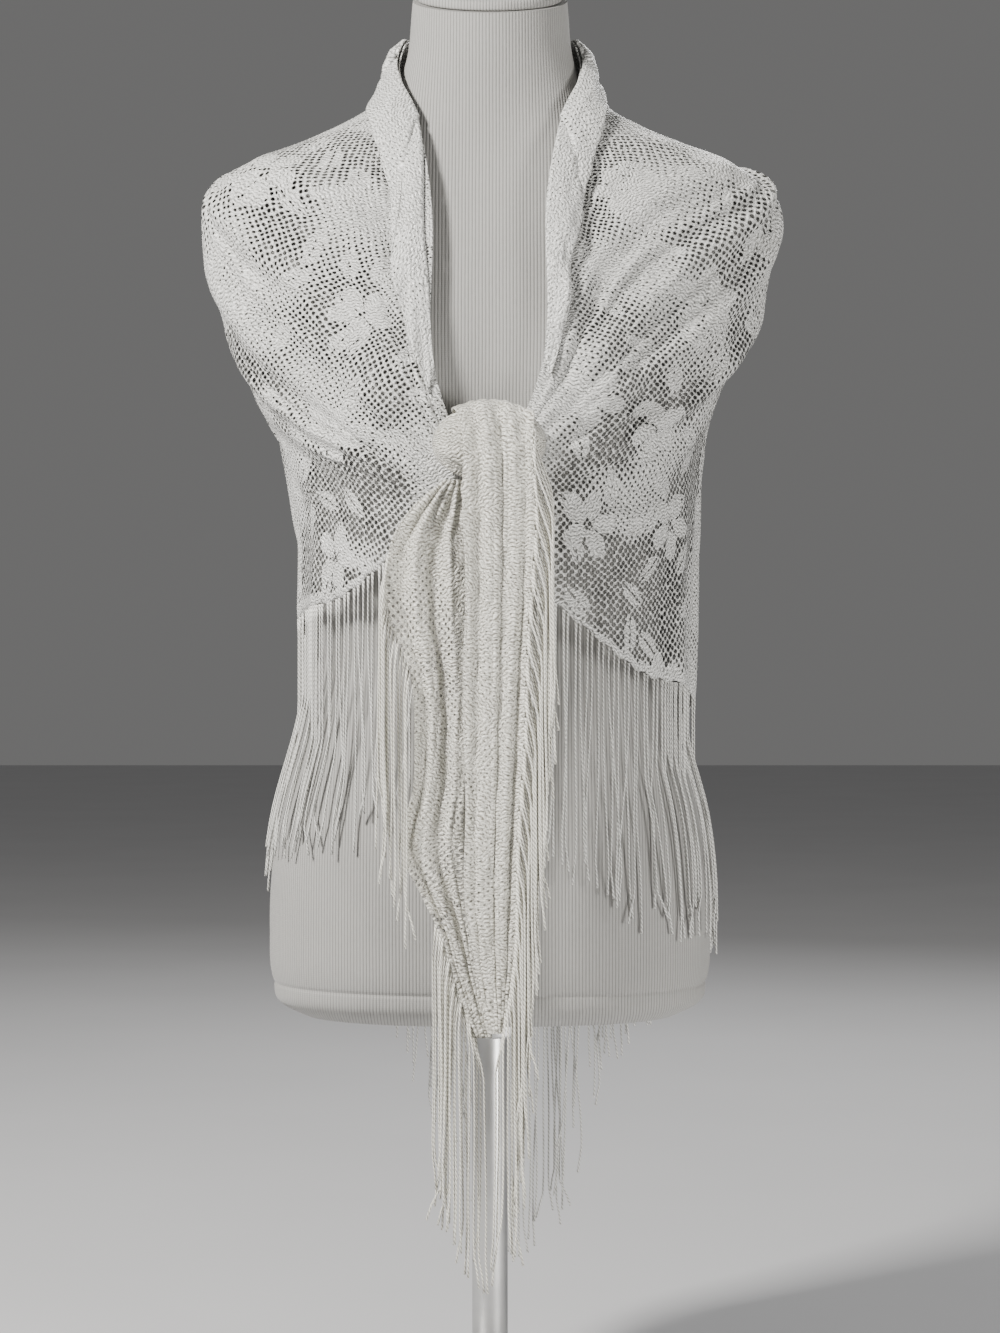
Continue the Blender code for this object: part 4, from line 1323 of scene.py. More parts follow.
def cloth_sheet(
    name: str,
    columns: int,
    rows: int,
    shape: Callable[[Array, Array], Array],
    openness: Callable[[Array, Array], Array],
    finish: bpy.types.Material,
    shift: tuple[float, float] = (0.0, 0.0),
) -> bpy.types.Object:
    """A fine closed shell of cloth from a grid.

    Args:
        name: the piece's name.
        columns: grid faces across.
        rows: grid faces down.
        shape: gives points from places across and down, 0 to 1.
        openness: gives how open the net is at each place.
        finish: the cloth's material.
        shift: where on the knitted pattern this piece begins.

    Returns:
        The finished piece.
    """
    made = start_grid(name, columns, rows)
    start = get_points(made.data)
    across, down = start[:, 0] + 0.5, start[:, 1] + 0.5
    set_points(made.data, shape(across, down))
    places = lay_flat(shape, columns // 4, max(rows // 4, 4), across, down)
    set_uv(made.data, places + np.array(shift))
    bpy.context.view_layer.objects.active = made
    made.select_set(True)
    set_openness(made.data, openness(across, down))
    made.data.materials.append(finish)
    wall = made.modifiers.new("Wall", "SOLIDIFY")
    wall.thickness = WALL
    wall.offset = 1.0
    bpy.ops.object.modifier_apply(modifier="Wall")
    bpy.ops.object.shade_smooth()
    return made


def settle(piece: bpy.types.Object, replaced: Sequence[str]) -> bpy.types.Object:
    """Fixes a finished piece to the frame.

    Args:
        piece: the piece.
        replaced: the CAD nodes that it stands for.

    Returns:
        The piece.
    """
    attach(piece, "root")
    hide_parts(*replaced)
    faces = len(piece.data.polygons)
    log.info("%s: %d faces, stands for %s", piece.name, faces, ", ".join(replaced))
    return piece


@dataclass(frozen=True)
class Finishes:
    """Every material, built once.

    Attributes:
        cape: lace of the cape.
        collar: lace of the collar.
        tail: lace of the knot and the tails.
        fringe: cord of the cape's fringes.
        tail_fringe: cord of the tails' fringes.
        jersey: the dress form's cover.
        metal: the stand.
    """

    cape: bpy.types.Material
    collar: bpy.types.Material
    tail: bpy.types.Material
    fringe: bpy.types.Material
    tail_fringe: bpy.types.Material
    jersey: bpy.types.Material
    metal: bpy.types.Material

    @classmethod
    def build(cls) -> "Finishes":
        """Builds the shared groups and the materials on them."""
        groups = Groups()
        # The dark tones are the painted shade between the stitches and between the cords' turns; the
        # light ones are the yarns' own colours.
        shade_grey, white = (0.15, 0.15, 0.14), (0.98, 0.98, 0.95)
        shade_warm, ivory = (0.20, 0.185, 0.15), (0.985, 0.97, 0.885)
        return cls(
            cape=LaceFinish("cape_lace", white, shade_grey, 0.37, 0.92, 1.0).material(groups),
            collar=LaceFinish("collar_lace", white, shade_grey, 0.20, 1.0, 0.9).material(groups),
            tail=LaceFinish("tail_lace", ivory, shade_warm, 0.26, 0.8, 1.0).material(groups),
            fringe=CordFinish("fringe_cord", (0.93, 0.925, 0.885), shade_grey).material(groups),
            tail_fringe=CordFinish("tail_fringe_cord", ivory, shade_warm).material(groups),
            jersey=JerseyFinish().material(groups),
            metal=MetalFinish().material(groups),
        )


# The cloth


@dataclass
class Cape:
    """The shawl from one knot edge round the back to the other, in one piece.

    Attributes:
        columns: grid faces round it.
        rows: grid faces from the neck edge to the hem.
        lift: how far its inner side lies off the solid's.
        hem_wave: height of the hem's fine waves.
        cloth: the shape that it follows.
    """

    columns: int = 300
    rows: int = 128
    lift: float = 0.0004
    hem_wave: float = 0.0012
    cloth: ClothShape = ClothShape()

    def shape(self, across: Array, down: Array) -> Array:
        """Points of the cape's inner side."""
        u = 2 * across - 1
        points = self.cloth.points(u, down, self.lift)
        points[:, 2] += self.hem_wave * smooth_step(down, 0.95, 1.0) * np.sin(150.0 * u)
        return points

    def openness(self, across: Array, down: Array) -> Array:
        """How open the net is: most in the lower fronts, less by the knot and not at the hem."""
        u = 2 * across - 1
        front = smooth_step(np.abs(u), 0.45, 0.75)
        low = smooth_step(down, 0.42, 0.72)
        share = 0.80 + 0.40 * front * low + 0.12 * (1 - front) * low
        tight = smooth_step(np.abs(u), 0.90, 0.99)
        return share * (1 - 0.5 * tight) * (1 - smooth_step(down, 0.986, 0.994))

    def build(self, finishes: Finishes) -> bpy.types.Object:
        """Models the cape."""
        made = cloth_sheet(
            "cape_lace", self.columns, self.rows, self.shape, self.openness, finishes.cape
        )
        return settle(made, ["shawl_back", "shawl_left_front", "shawl_right_front"])


@dataclass
class Collar:
    """The long plain edge, turned back over itself with a soft roll.

    Attributes:
        end_u: where it runs in under the knot.
        width: how far it is turned back behind the neck.
        wider: how much wider it is in front.
        narrower: how much narrower at its ends, as a share.
        start_v: how far below the neck edge it begins.
        edge_ripple: how far its free edge wanders in front.
        ruffle: how far its ruffle by the knot stands out.
        lift: how far it lies off the cape.
        seat: the same at its ends.
        puff: how far its middle stands up.
        slit: how far the left fold lies back from the cape's own edge.
        roll: the share of its width that is the roll at the neck edge.
        roll_out: how far the roll stands in towards the neck.
        frill: height of the waves in its ruffle.
        edge_wave: height of the lesser waves along its free edge.
        crumple: height of its unevenness.
        pattern_at: where on the knitted pattern it begins.
        columns: grid faces along it.
        rows: grid faces across it.
        cloth: the shape that it follows.
    """

    end_u: float = 0.955
    width: float = 0.026
    wider: float = 0.005
    narrower: float = 0.55
    start_v: float = 0.004
    edge_ripple: float = 0.0014
    ruffle: float = 0.008
    lift: float = 0.0040
    seat: float = 0.0018
    puff: float = 0.0036
    slit: float = 0.011
    roll: float = 0.14
    roll_out: float = 0.0020
    frill: float = 0.0026
    edge_wave: float = 0.0008
    crumple: float = 0.0006
    pattern_at: tuple[float, float] = (0.21, 0.33)
    columns: int = 380
    rows: int = 28
    cloth: ClothShape = ClothShape()

    def shape(self, across: Array, down: Array) -> Array:
        """Points of the collar's inner side."""
        u = self.end_u * (2 * across - 1)
        out = np.clip((down - self.roll) / (1 - self.roll), 0, 1)
        near = np.abs(u)
        frontness = smooth_step(near, 0.50, 0.85)
        width = self.width + self.wider * frontness
        width = width * (1 + 0.06 * np.sin(7.0 * u + 0.6) + 0.10 * frontness * np.sin(26.0 * u + 1.0))
        width += self.ruffle * bump(near, 0.90, 0.04)
        width += self.edge_ripple * frontness * np.sin(61.0 * u + 2.0)
        taper = 1 - self.narrower * smooth_step(near, 0.80, self.end_u)
        seated = smooth_step(near, 0.84, self.end_u)
        puff = self.puff * np.sin(math.pi * np.clip(out * 0.85 + 0.08, 0, 1)) * (1 - 0.8 * seated)
        waves = bump(near, 0.885, 0.055) * smooth_step(out, 0.25, 1.0)
        curl = self.frill * waves * (1 + np.sin(118.0 * u + 3.0 * out + np.sin(31.0 * u)))
        edge = frontness * smooth_step(out, 0.5, 1.0)
        curl += self.edge_wave * edge * (1 + np.sin(47.0 * u + 1.0))
        crumple = self.crumple * (1 + ripple(70.0 * u, 6.0 * out)) * smooth_step(out, 0.0, 0.3)
        lift = self.lift + (self.seat - self.lift) * seated + puff + curl + crumple
        length = self.cloth.column_length(u)
        start = self.start_v + self.slit * bump(u, -0.845, 0.055) / length
        v = start + width * taper / length * out
        points = self.cloth.points(u, v, lift, fine=False)
        turn = np.clip(1 - down / self.roll, 0, 1) * math.pi * 0.5
        normals = self.cloth.normals(u, start)
        falls = points - self.cloth.points(u, v + 0.01, lift, fine=False)
        falls /= np.linalg.norm(falls, axis=1, keepdims=True)
        points -= normals * (self.lift * 0.55 * (1 - seated) * (1 - np.cos(turn)))[:, None]
        return points + falls * (self.roll_out * np.sin(turn))[:, None]

    def build(self, finishes: Finishes) -> bpy.types.Object:
        """Models the collar."""
        made = cloth_sheet(
            "collar_turned_back",
            self.columns,
            self.rows,
            self.shape,
            lambda across, down: 0.55 + 0.2 * np.sin(30.0 * across),
            finishes.collar,
            self.pattern_at,
        )
        return settle(made, ["collar"])


@dataclass
class Knot:
    """The gathered cloth that the tail goes over.

    Attributes:
        centre: its middle.
        radii: half its width, depth and height.
        twist: how far its folds turn from end to end.
        grooves: how many folds run round it.
        groove_depth: how deep they are.
        lines: how many finer folds lie on them.
        line_depth: how deep those are.
        girth: its mean radius, which sets how far the pattern runs round it.
        pattern_at: where on the knitted pattern it begins.
    """

    centre: tuple[float, float, float] = (0.0, -0.1416, 0.6740)
    radii: tuple[float, float, float] = (0.0370, 0.0130, 0.0235)
    twist: float = 0.9
    grooves: int = 6
    groove_depth: float = 0.0020
    lines: int = 17
    line_depth: float = 0.0007
    girth: float = 0.019
    pattern_at: tuple[float, float] = (0.4, 0.2)

    def build(self, finishes: Finishes) -> bpy.types.Object:
        """Models the knot."""
        add = bpy.ops.mesh.primitive_uv_sphere_add
        made = start_piece(add, "knot_gathered", segments=128, ring_count=72, radius=1.0)
        x, y, z = get_points(made.data).T
        spin = np.arctan2(y, z)
        fade = 1 - np.abs(x) ** 5
        twisted = spin + self.twist * x
        wave = 0.5 + 0.5 * np.cos(self.grooves * twisted + 0.8 * np.sin(4.0 * x))
        fine = 0.5 + 0.5 * np.cos(self.lines * twisted + np.sin(3.0 * spin))
        wide, deep, tall = self.radii
        groove = 1 - fade * (self.groove_depth * wave + self.line_depth * fine) / deep
        blunt = np.sign(x) * np.abs(x) ** 0.8
        points = np.stack([blunt * wide, y * deep * groove, z * tall * groove])
        points = points.T + np.array(self.centre)
        set_points(made.data, points)
        places = np.stack([points[:, 0], spin * self.girth], axis=1)
        set_uv(made.data, places + np.array(self.pattern_at))
        set_openness(made.data, np.zeros(len(points)))
        made.data.materials.append(finishes.tail)
        bpy.ops.object.shade_smooth()
        return settle(made, ["knot"])


@dataclass
class Tails:
    """The two ends of the shawl below the knot.

    Attributes:
        over_pleats: pleats across the tail in front.
        over_depth: their depth.
        under_pleats: pleats across the tail behind.
        under_depth: their depth.
        arch: how much lower its edges lie than its middle over the knot.
        fall_back: how far they turn back there.
        gather: depth of the gathers by the knot.
        over_at: where on the knitted pattern the tail in front begins.
        under_at: where the tail behind begins.
        columns: grid faces across a tail.
        rows: grid faces down it.
    """

    over_pleats: float = 3.0
    over_depth: float = 0.0022
    under_pleats: float = 2.5
    under_depth: float = 0.0030
    arch: float = 0.0080
    fall_back: float = 0.0050
    gather: float = 0.0016
    over_at: tuple[float, float] = (0.50, 0.10)
    under_at: tuple[float, float] = (0.80, 0.40)
    columns: int = 72
    rows: int = 330

    def over(self, across: Array, down: Array) -> Array:
        """Points of the tail in front, gathered and rounded where it goes over the knot."""
        size = (self.over_pleats, self.over_depth)
        points = tail_points(OVER_TAIL, *size, across, down, OVER_PLEATS)
        top = 1 - smooth_step(down, 0.06, 0.24)
        edge = np.abs(2 * across - 1)
        points[:, 2] -= self.arch * top * edge**2.5 * (1 + 0.8 * (across > 0.5))
        points[:, 1] += self.fall_back * top * edge**3
        gather = self.gather * top * self.ridges(6.5 * across + 0.6 * np.sin(8.0 * down))
        points[:, 1] -= gather * smooth_step(down, 0.0, 0.07)
        points[:, 2] += 0.5 * gather
        return points

    def under(self, across: Array, down: Array) -> Array:
        """Points of the tail behind."""
        size = (self.under_pleats, self.under_depth)
        points = tail_points(UNDER_TAIL, *size, across, down, UNDER_PLEATS)
        top = 1 - smooth_step(down, 0.05, 0.30)
        gather = self.gather * top * self.ridges(5.5 * across + 0.4 * np.sin(6.0 * down))
        points[:, 1] -= gather * smooth_step(down, 0.0, 0.06)
        return points

    def ridges(self, turns: Array) -> Array:
        """Rounded ridges from 0 to 1, one for each whole turn."""
        return 0.5 + 0.5 * np.cos(2 * math.pi * turns)

    def hem(self, over: bool) -> Callable[[Array], Array]:
        """Gives points of a tail's fringed hem from shares of its length."""
        if over:
            return lambda down: self.over(np.ones_like(down), down)
        return lambda down: self.under(np.ones_like(down), down)

    def build(self, finishes: Finishes) -> list[bpy.types.Object]:
        """Models both tails."""
        size = (self.columns, self.rows)
        over = cloth_sheet(
            "tail_over_lace",
            *size,
            lambda across, down: self.over(1 - across, down),
            lambda across, down: 0.35 + 0.35 * smooth_step(down, 0.35, 0.8) * across,
            finishes.tail,
            self.over_at,
        )
        under = cloth_sheet(
            "tail_under_lace",
            *size,
            self.under,
            lambda across, down: 0.5 + 0.45 * smooth_step(down, 0.10, 0.5),
            finishes.tail,
            self.under_at,
        )
        return [settle(over, ["tail_over"]), settle(under, ["tail_under"])]


# The fringe


@dataclass(frozen=True)
class Strands:
    """A row of fine cords as one mesh.

    Attributes:
        radius: half a cord's thickness.
        root_swell: how much thicker it is at its root, as a share.
        end_swell: how much thicker by its end.
        askew: a direction that no cord runs in, which its sides are turned from.
        sides: faces round a cord.
        steps: points along a cord.
    """

    radius: float = 0.00066
    root_swell: float = 0.75
    end_swell: float = 0.45
    askew: tuple[float, float, float] = (0.31, 0.95, 0.05)
    sides: int = 6
    steps: int = 18

    def rings(self, paths: Array) -> Array:
        """How far a cord's corners lie from each point of its path."""
        along = np.gradient(paths, axis=1)
        along /= np.linalg.norm(along, axis=2, keepdims=True)
        side = np.cross(along, np.array(self.askew))
        side /= np.linalg.norm(side, axis=2, keepdims=True)
        other = np.cross(along, side)
        share = np.linspace(0.0, 1.0, paths.shape[1])
        swell = self.root_swell * bump(share, 0.0, 0.025)
        widths = self.radius * (1 + swell + self.end_swell * bump(share, 0.985, 0.02))
        angles = np.arange(self.sides) * 2 * math.pi / self.sides
        ring = (
            np.cos(angles)[None, None, :, None] * side[:, :, None]
            + np.sin(angles)[None, None, :, None] * other[:, :, None]
        )
        return ring * widths[None, :, None, None]

    def places(self, paths: Array) -> Array:
        """The place on its yarn of each corner of the cords' walls, cord by cord."""
        count, length, _ = paths.shape
        fall = np.linalg.norm(np.diff(paths, axis=1), axis=2)
        fall = np.concatenate([np.zeros((count, 1)), np.cumsum(fall, axis=1)], axis=1)
        own = np.arange(count) * 3
        turns = np.arange(self.sides + 1) / self.sides
        turns = np.stack([turns[:-1], turns[1:], turns[1:], turns[:-1]], axis=-1)
        corners = np.empty((count, length - 1, self.sides, 4, 2))
        corners[..., 0] = own[:, None, None, None] + turns
        corners[..., :2, 1] = fall[:, :-1, None, None]
        corners[..., 2:, 1] = fall[:, 1:, None, None]
        return corners.reshape(-1, 2)

    def sweep(self, name: str, paths: Array, finish: bpy.types.Material) -> bpy.types.Object:
        """Sweeps a cord along each path.

        Args:
            name: the piece's name.
            paths: cords by points by three, from root to end.
            finish: the cords' material.

        Returns:
            The cords as one object.
        """
        count, length, _ = paths.shape
        points = paths[:, :, None] + self.rings(paths)
        index = np.arange(count * length * self.sides).reshape(count, length, self.sides)
        here, there = index[:, :-1], index[:, 1:]
        faces = np.stack(
            [here, np.roll(here, -1, 2), np.roll(there, -1, 2), there], axis=-1
        ).reshape(-1, 4)
        ends = np.concatenate([index[:, 0, ::-1], index[:, -1]])
        mesh = bpy.data.meshes.new(name)
        mesh.from_pydata(points.reshape(-1, 3).tolist(), [], faces.tolist() + ends.tolist())
        caps = np.zeros((len(ends) * self.sides, 2))
        set_corner_uv(mesh, np.concatenate([self.places(paths), caps]))
        mesh.materials.append(finish)
        made = link(name, mesh)
        bpy.ops.object.select_all(action="DESELECT")
        made.select_set(True)
        bpy.context.view_layer.objects.active = made
        bpy.ops.object.mode_set(mode="EDIT")
        bpy.ops.mesh.select_all(action="SELECT")
        bpy.ops.mesh.normals_make_consistent(inside=False)
        bpy.ops.object.mode_set(mode="OBJECT")
        bpy.ops.object.shade_smooth()
        return made


class Stretch(NamedTuple):
    """A stretch of the cape's hem that carries one fringe.

    Attributes:
        name: the piece's name.
        node: the CAD node that it stands for.
        start: where it begins round the hem.
        end: where it ends.
    """

    name: str
    node: str
    start: float
    end: float


STRETCHES = (
    Stretch("fringe_of_right_front", "fringe_right_front", 0.424, 0.990),
    Stretch("fringe_of_right_back", "fringe_right_back", 0.003, 0.437),
    Stretch("fringe_of_left_back", "fringe_left_back", -0.437, -0.003),
    Stretch("fringe_of_left_front", "fringe_left_front", -0.990, -0.424),
)


@dataclass
class CapeFringe:
    """The cords along the cape's hem.

    Attributes:
        length: a cord's usual length.
        uneven: how much longer or shorter a cord may be, as a share.
        spacing: distance between two cords on the hem.
        level: their least distance seen from above.
        turn_u: where the hem turns from the front to the side.
        turn_width: how far that turn spreads.
        more_at_turn: how much closer the cords are there.
        shuffle: how unevenly the roots lie, as a share of their distance.
        root_lift: how far the roots lie off the cloth's inner side.
        samples: points that the hem's length is measured with.
        bunch: the most cords that lean together at their ends.
        calm: how many cords at each end of a stretch lean little.
        lean: the most that a cord's end leans to its bunch.
        stray: how far ends stray besides.
        sway: how far a cord sways on its way down.
        curl: how far its last stretch curls aside.
        gap: the cords' distance off the form.
        layers: how many cords hang one before another.
        layer_gap: distance between two of those.
        strands: the cords' own shape.
        cloth: the shape whose hem they hang from.
    """

    length: float = 0.166
    uneven: float = 0.075
    spacing: float = 0.0052
    level: float = 0.0030
    turn_u: float = 0.684
    turn_width: float = 0.022
    more_at_turn: float = 1.6
    shuffle: float = 0.18
    root_lift: float = 0.0007
    samples: int = 900
    bunch: int = 5
    calm: int = 4
    lean: float = 0.011
    stray: float = 0.0018
    sway: float = 0.0013
    curl: float = 0.0030
    gap: float = 0.0024
    layers: int = 3
    layer_gap: float = 0.0013
    strands: Strands = Strands()
    cloth: ClothShape = ClothShape()

    def stations(self, start: float, end: float) -> Array:
        """Places of the cords' roots along the hem."""
        fine = np.linspace(start, end, self.samples)
        points = self.cloth.points(fine, np.ones_like(fine), 0.0006, fine=False)
        steps = np.diff(points, axis=0)
        level = np.hypot(steps[:, 0], steps[:, 1]) * self.spacing / self.level
        along = np.minimum(np.linalg.norm(steps, axis=1), level)
        along *= 1 + self.more_at_turn * bump(np.abs(fine[1:]), self.turn_u, self.turn_width)
        along = np.concatenate([[0], np.cumsum(along)])
        count = int(along[-1] / self.spacing)
        spots = np.arange(count) + 0.5 + self.shuffle * np.sin(2.9 * np.arange(count))
        return np.interp(spots * along[-1] / count, along, fine)

    def paths(self, u: Array) -> Array:
        """Each cord's path from the hem down.

        Args:
            u: the roots' places along the hem.

        Returns:
            Cords by points by three.
        """
        ones = np.ones_like(u)
        roots = self.cloth.points(u, ones, self.root_lift)
        outs = self.cloth.normals(u, ones)
        outs[:, 2] = 0
        outs /= np.linalg.norm(outs, axis=1, keepdims=True)
        across = np.stack([-outs[:, 1], outs[:, 0], np.zeros_like(u)], axis=1)
        index = np.arange(len(u))
        chance = np.random.default_rng(len(u))
        length = self.length * (1 + self.uneven * chance.uniform(-1, 1, len(u)))
        place = np.concatenate([[0], np.cumsum(np.linalg.norm(np.diff(roots, axis=0), axis=1))])
        sizes = np.cumsum(chance.integers(2, self.bunch + 1, len(u)))
        group = np.searchsorted(sizes, index)
        means = np.array([place[group == g].mean() for g in group])
        lean = (means - place) * chance.uniform(0.4, 1.0, len(u))
        lean = np.clip(lean, -self.lean, self.lean) + chance.normal(0.0, self.stray, len(u))
        lean[: self.calm] *= 0.2
        lean[-self.calm :] *= 0.2
        phase = chance.uniform(0, 2 * math.pi, len(u))
        curl = chance.normal(0.0, self.curl, len(u))
        paths = [roots]
        spot = roots.copy()
        before = np.zeros_like(u)
        for share in np.linspace(0.0, 1.0, self.strands.steps)[1:]:
            swing = lean * smooth_step(share, 0.15, 0.95)
            swing += self.sway * np.sin(phase + 6.0 * share) * share
            swing += curl * smooth_step(share, 0.86, 1.0)
            spot = spot + across * (swing - before)[:, None]
            before = swing
            spot[:, 2] = roots[:, 2] - length * (share - 0.012 * smooth_step(share, 0.9, 1.0))
            for k in range(self.layers):
                chosen = index % self.layers == k
                gap = self.gap + self.layer_gap * k
                spot[chosen] = self.cloth.form.clear(spot[chosen], gap)
            paths.append(spot.copy())
        return np.stack(paths, axis=1)

    def build(self, finishes: Finishes) -> list[bpy.types.Object]:
        """Models the four fringes."""
        made = []
        for stretch in STRETCHES:
            paths = self.paths(self.stations(stretch.start, stretch.end))
            piece = self.strands.sweep(stretch.name, paths, finishes.fringe)
            made.append(settle(piece, [stretch.node]))
        return made


@dataclass
class TailFringe:
    """The cords along one stretch of a tail's hem, which fall straight down beside it.

    Attributes:
        name: the piece's name.
        node: the CAD node that it stands for.
        span: the stretch of hem, as shares of the tail's length.
        side: 1 where the hem faces +X and -1 where it faces -X.
        layer_y: depth of the hindmost layer.
        spacing: distance between two cords on the hem.
        layers: how many cords hang one before another.
        layer_gap: distance between two of those.
        step: least distance between two cords of a layer, seen from the front.
        aside: how far a cord hangs beside its root.
        turn: length of cord within which it turns down.
        samples: points that the hem's length is measured with.
        inward: how far the cords at the tip hang in below it.
        length: a cord's usual length.
        uneven: how much longer or shorter a cord may be, as a share.
        stray: how far ends stray.
        sway: how far a cord sways on its way down.
        curl: how far its last stretch curls aside.
        strands: the cords' own shape.
    """

    name: str
    node: str
    span: tuple[float, float]
    side: int
    layer_y: float
    spacing: float = 0.0050
    layers: int = 4
    layer_gap: float = 0.0017
    step: float = 0.0014
    aside: float = 0.0021
    turn: float = 0.020
    samples: int = 700
    inward: float = 0.0
    length: float = 0.166
    uneven: float = 0.08
    stray: float = 0.0013
    sway: float = 0.0009
    curl: float = 0.0026
    strands: Strands = Strands()

    def paths(self, hem: Callable[[Array], Array]) -> Array:
        """Each cord's path.

        Args:
            hem: gives points of the hem from shares of the tail's length.

        Returns:
            Cords by points by three.
        """
        fine = np.linspace(*self.span, self.samples)
        points = hem(fine)
        run = np.concatenate([[0], np.cumsum(np.linalg.norm(np.diff(points, axis=0), axis=1))])
        count = int(run[-1] / self.spacing)
        shares = np.interp((np.arange(count) + 0.5) * run[-1] / count, run, fine)
        roots = hem(shares)
        index = np.arange(count)
        slots = np.zeros(count)
        tucked = self.inward * smooth_step(shares, 0.93, 1.0)
        for i in range(count - 1, -1, -1):
            slots[i] = self.side * roots[i, 0] + self.aside - tucked[i]
            below = slice(i + self.layers, None, self.layers)
            near = roots[below, 2] > roots[i, 2] - 1.05 * self.length
            if near.any():
                slots[i] = max(slots[i], (slots[below][near] + self.step).max())
        slots = self.side * slots
        depth = self.layer_y - self.layer_gap * (index % self.layers)
        chance = np.random.default_rng(count)
        length = self.length * (1 + self.uneven * chance.uniform(-1, 1, count))
        swing = np.maximum(np.abs(slots - roots[:, 0]) - self.aside, 0.0)
        phase = chance.uniform(0, 2 * math.pi, count)
        lean = chance.normal(0.0, self.stray, count)
        curl = chance.normal(0.0, self.curl, count)
        paths = [roots]
        for share in np.linspace(0.0, 1.0, self.strands.steps)[1:]:
            reach = smooth_step(share * length, 0.0, self.turn + 2.6 * swing)
            x = roots[:, 0] + (slots - roots[:, 0]) * reach
            x = x + self.sway * np.sin(phase + 6.0 * share) * share + lean * share
            x = x + curl * smooth_step(share, 0.84, 1.0)
            y = roots[:, 1] + (depth - roots[:, 1]) * smooth_step(share * length, 0.0, 0.012)
            y = y + 0.0006 * np.sin(2.0 * phase + 5.0 * share) * share
            paths.append(np.stack([x, y, roots[:, 2] - length * share], axis=1))
        return np.stack(paths, axis=1)

    def build(self, hem: Callable[[Array], Array], finish: bpy.types.Material) -> bpy.types.Object:
        """Models the cords."""
        piece = self.strands.sweep(self.name, self.paths(hem), finish)
        return settle(piece, [self.node])


TAIL_FRINGES = (
    TailFringe("fringe_of_tail_over", "fringe_tail_over", (0.25, 0.999), 1, -0.1565, inward=0.008),
    TailFringe("fringe_of_tail_under", "fringe_tail_under", (0.20, 0.43), -1, -0.1420),
    TailFringe(
        "fringe_of_tail_tip", "fringe_tail_tip", (0.80, 0.999), -1, -0.1370, 0.0034, inward=0.008
    ),
)


# The dress form and its stand


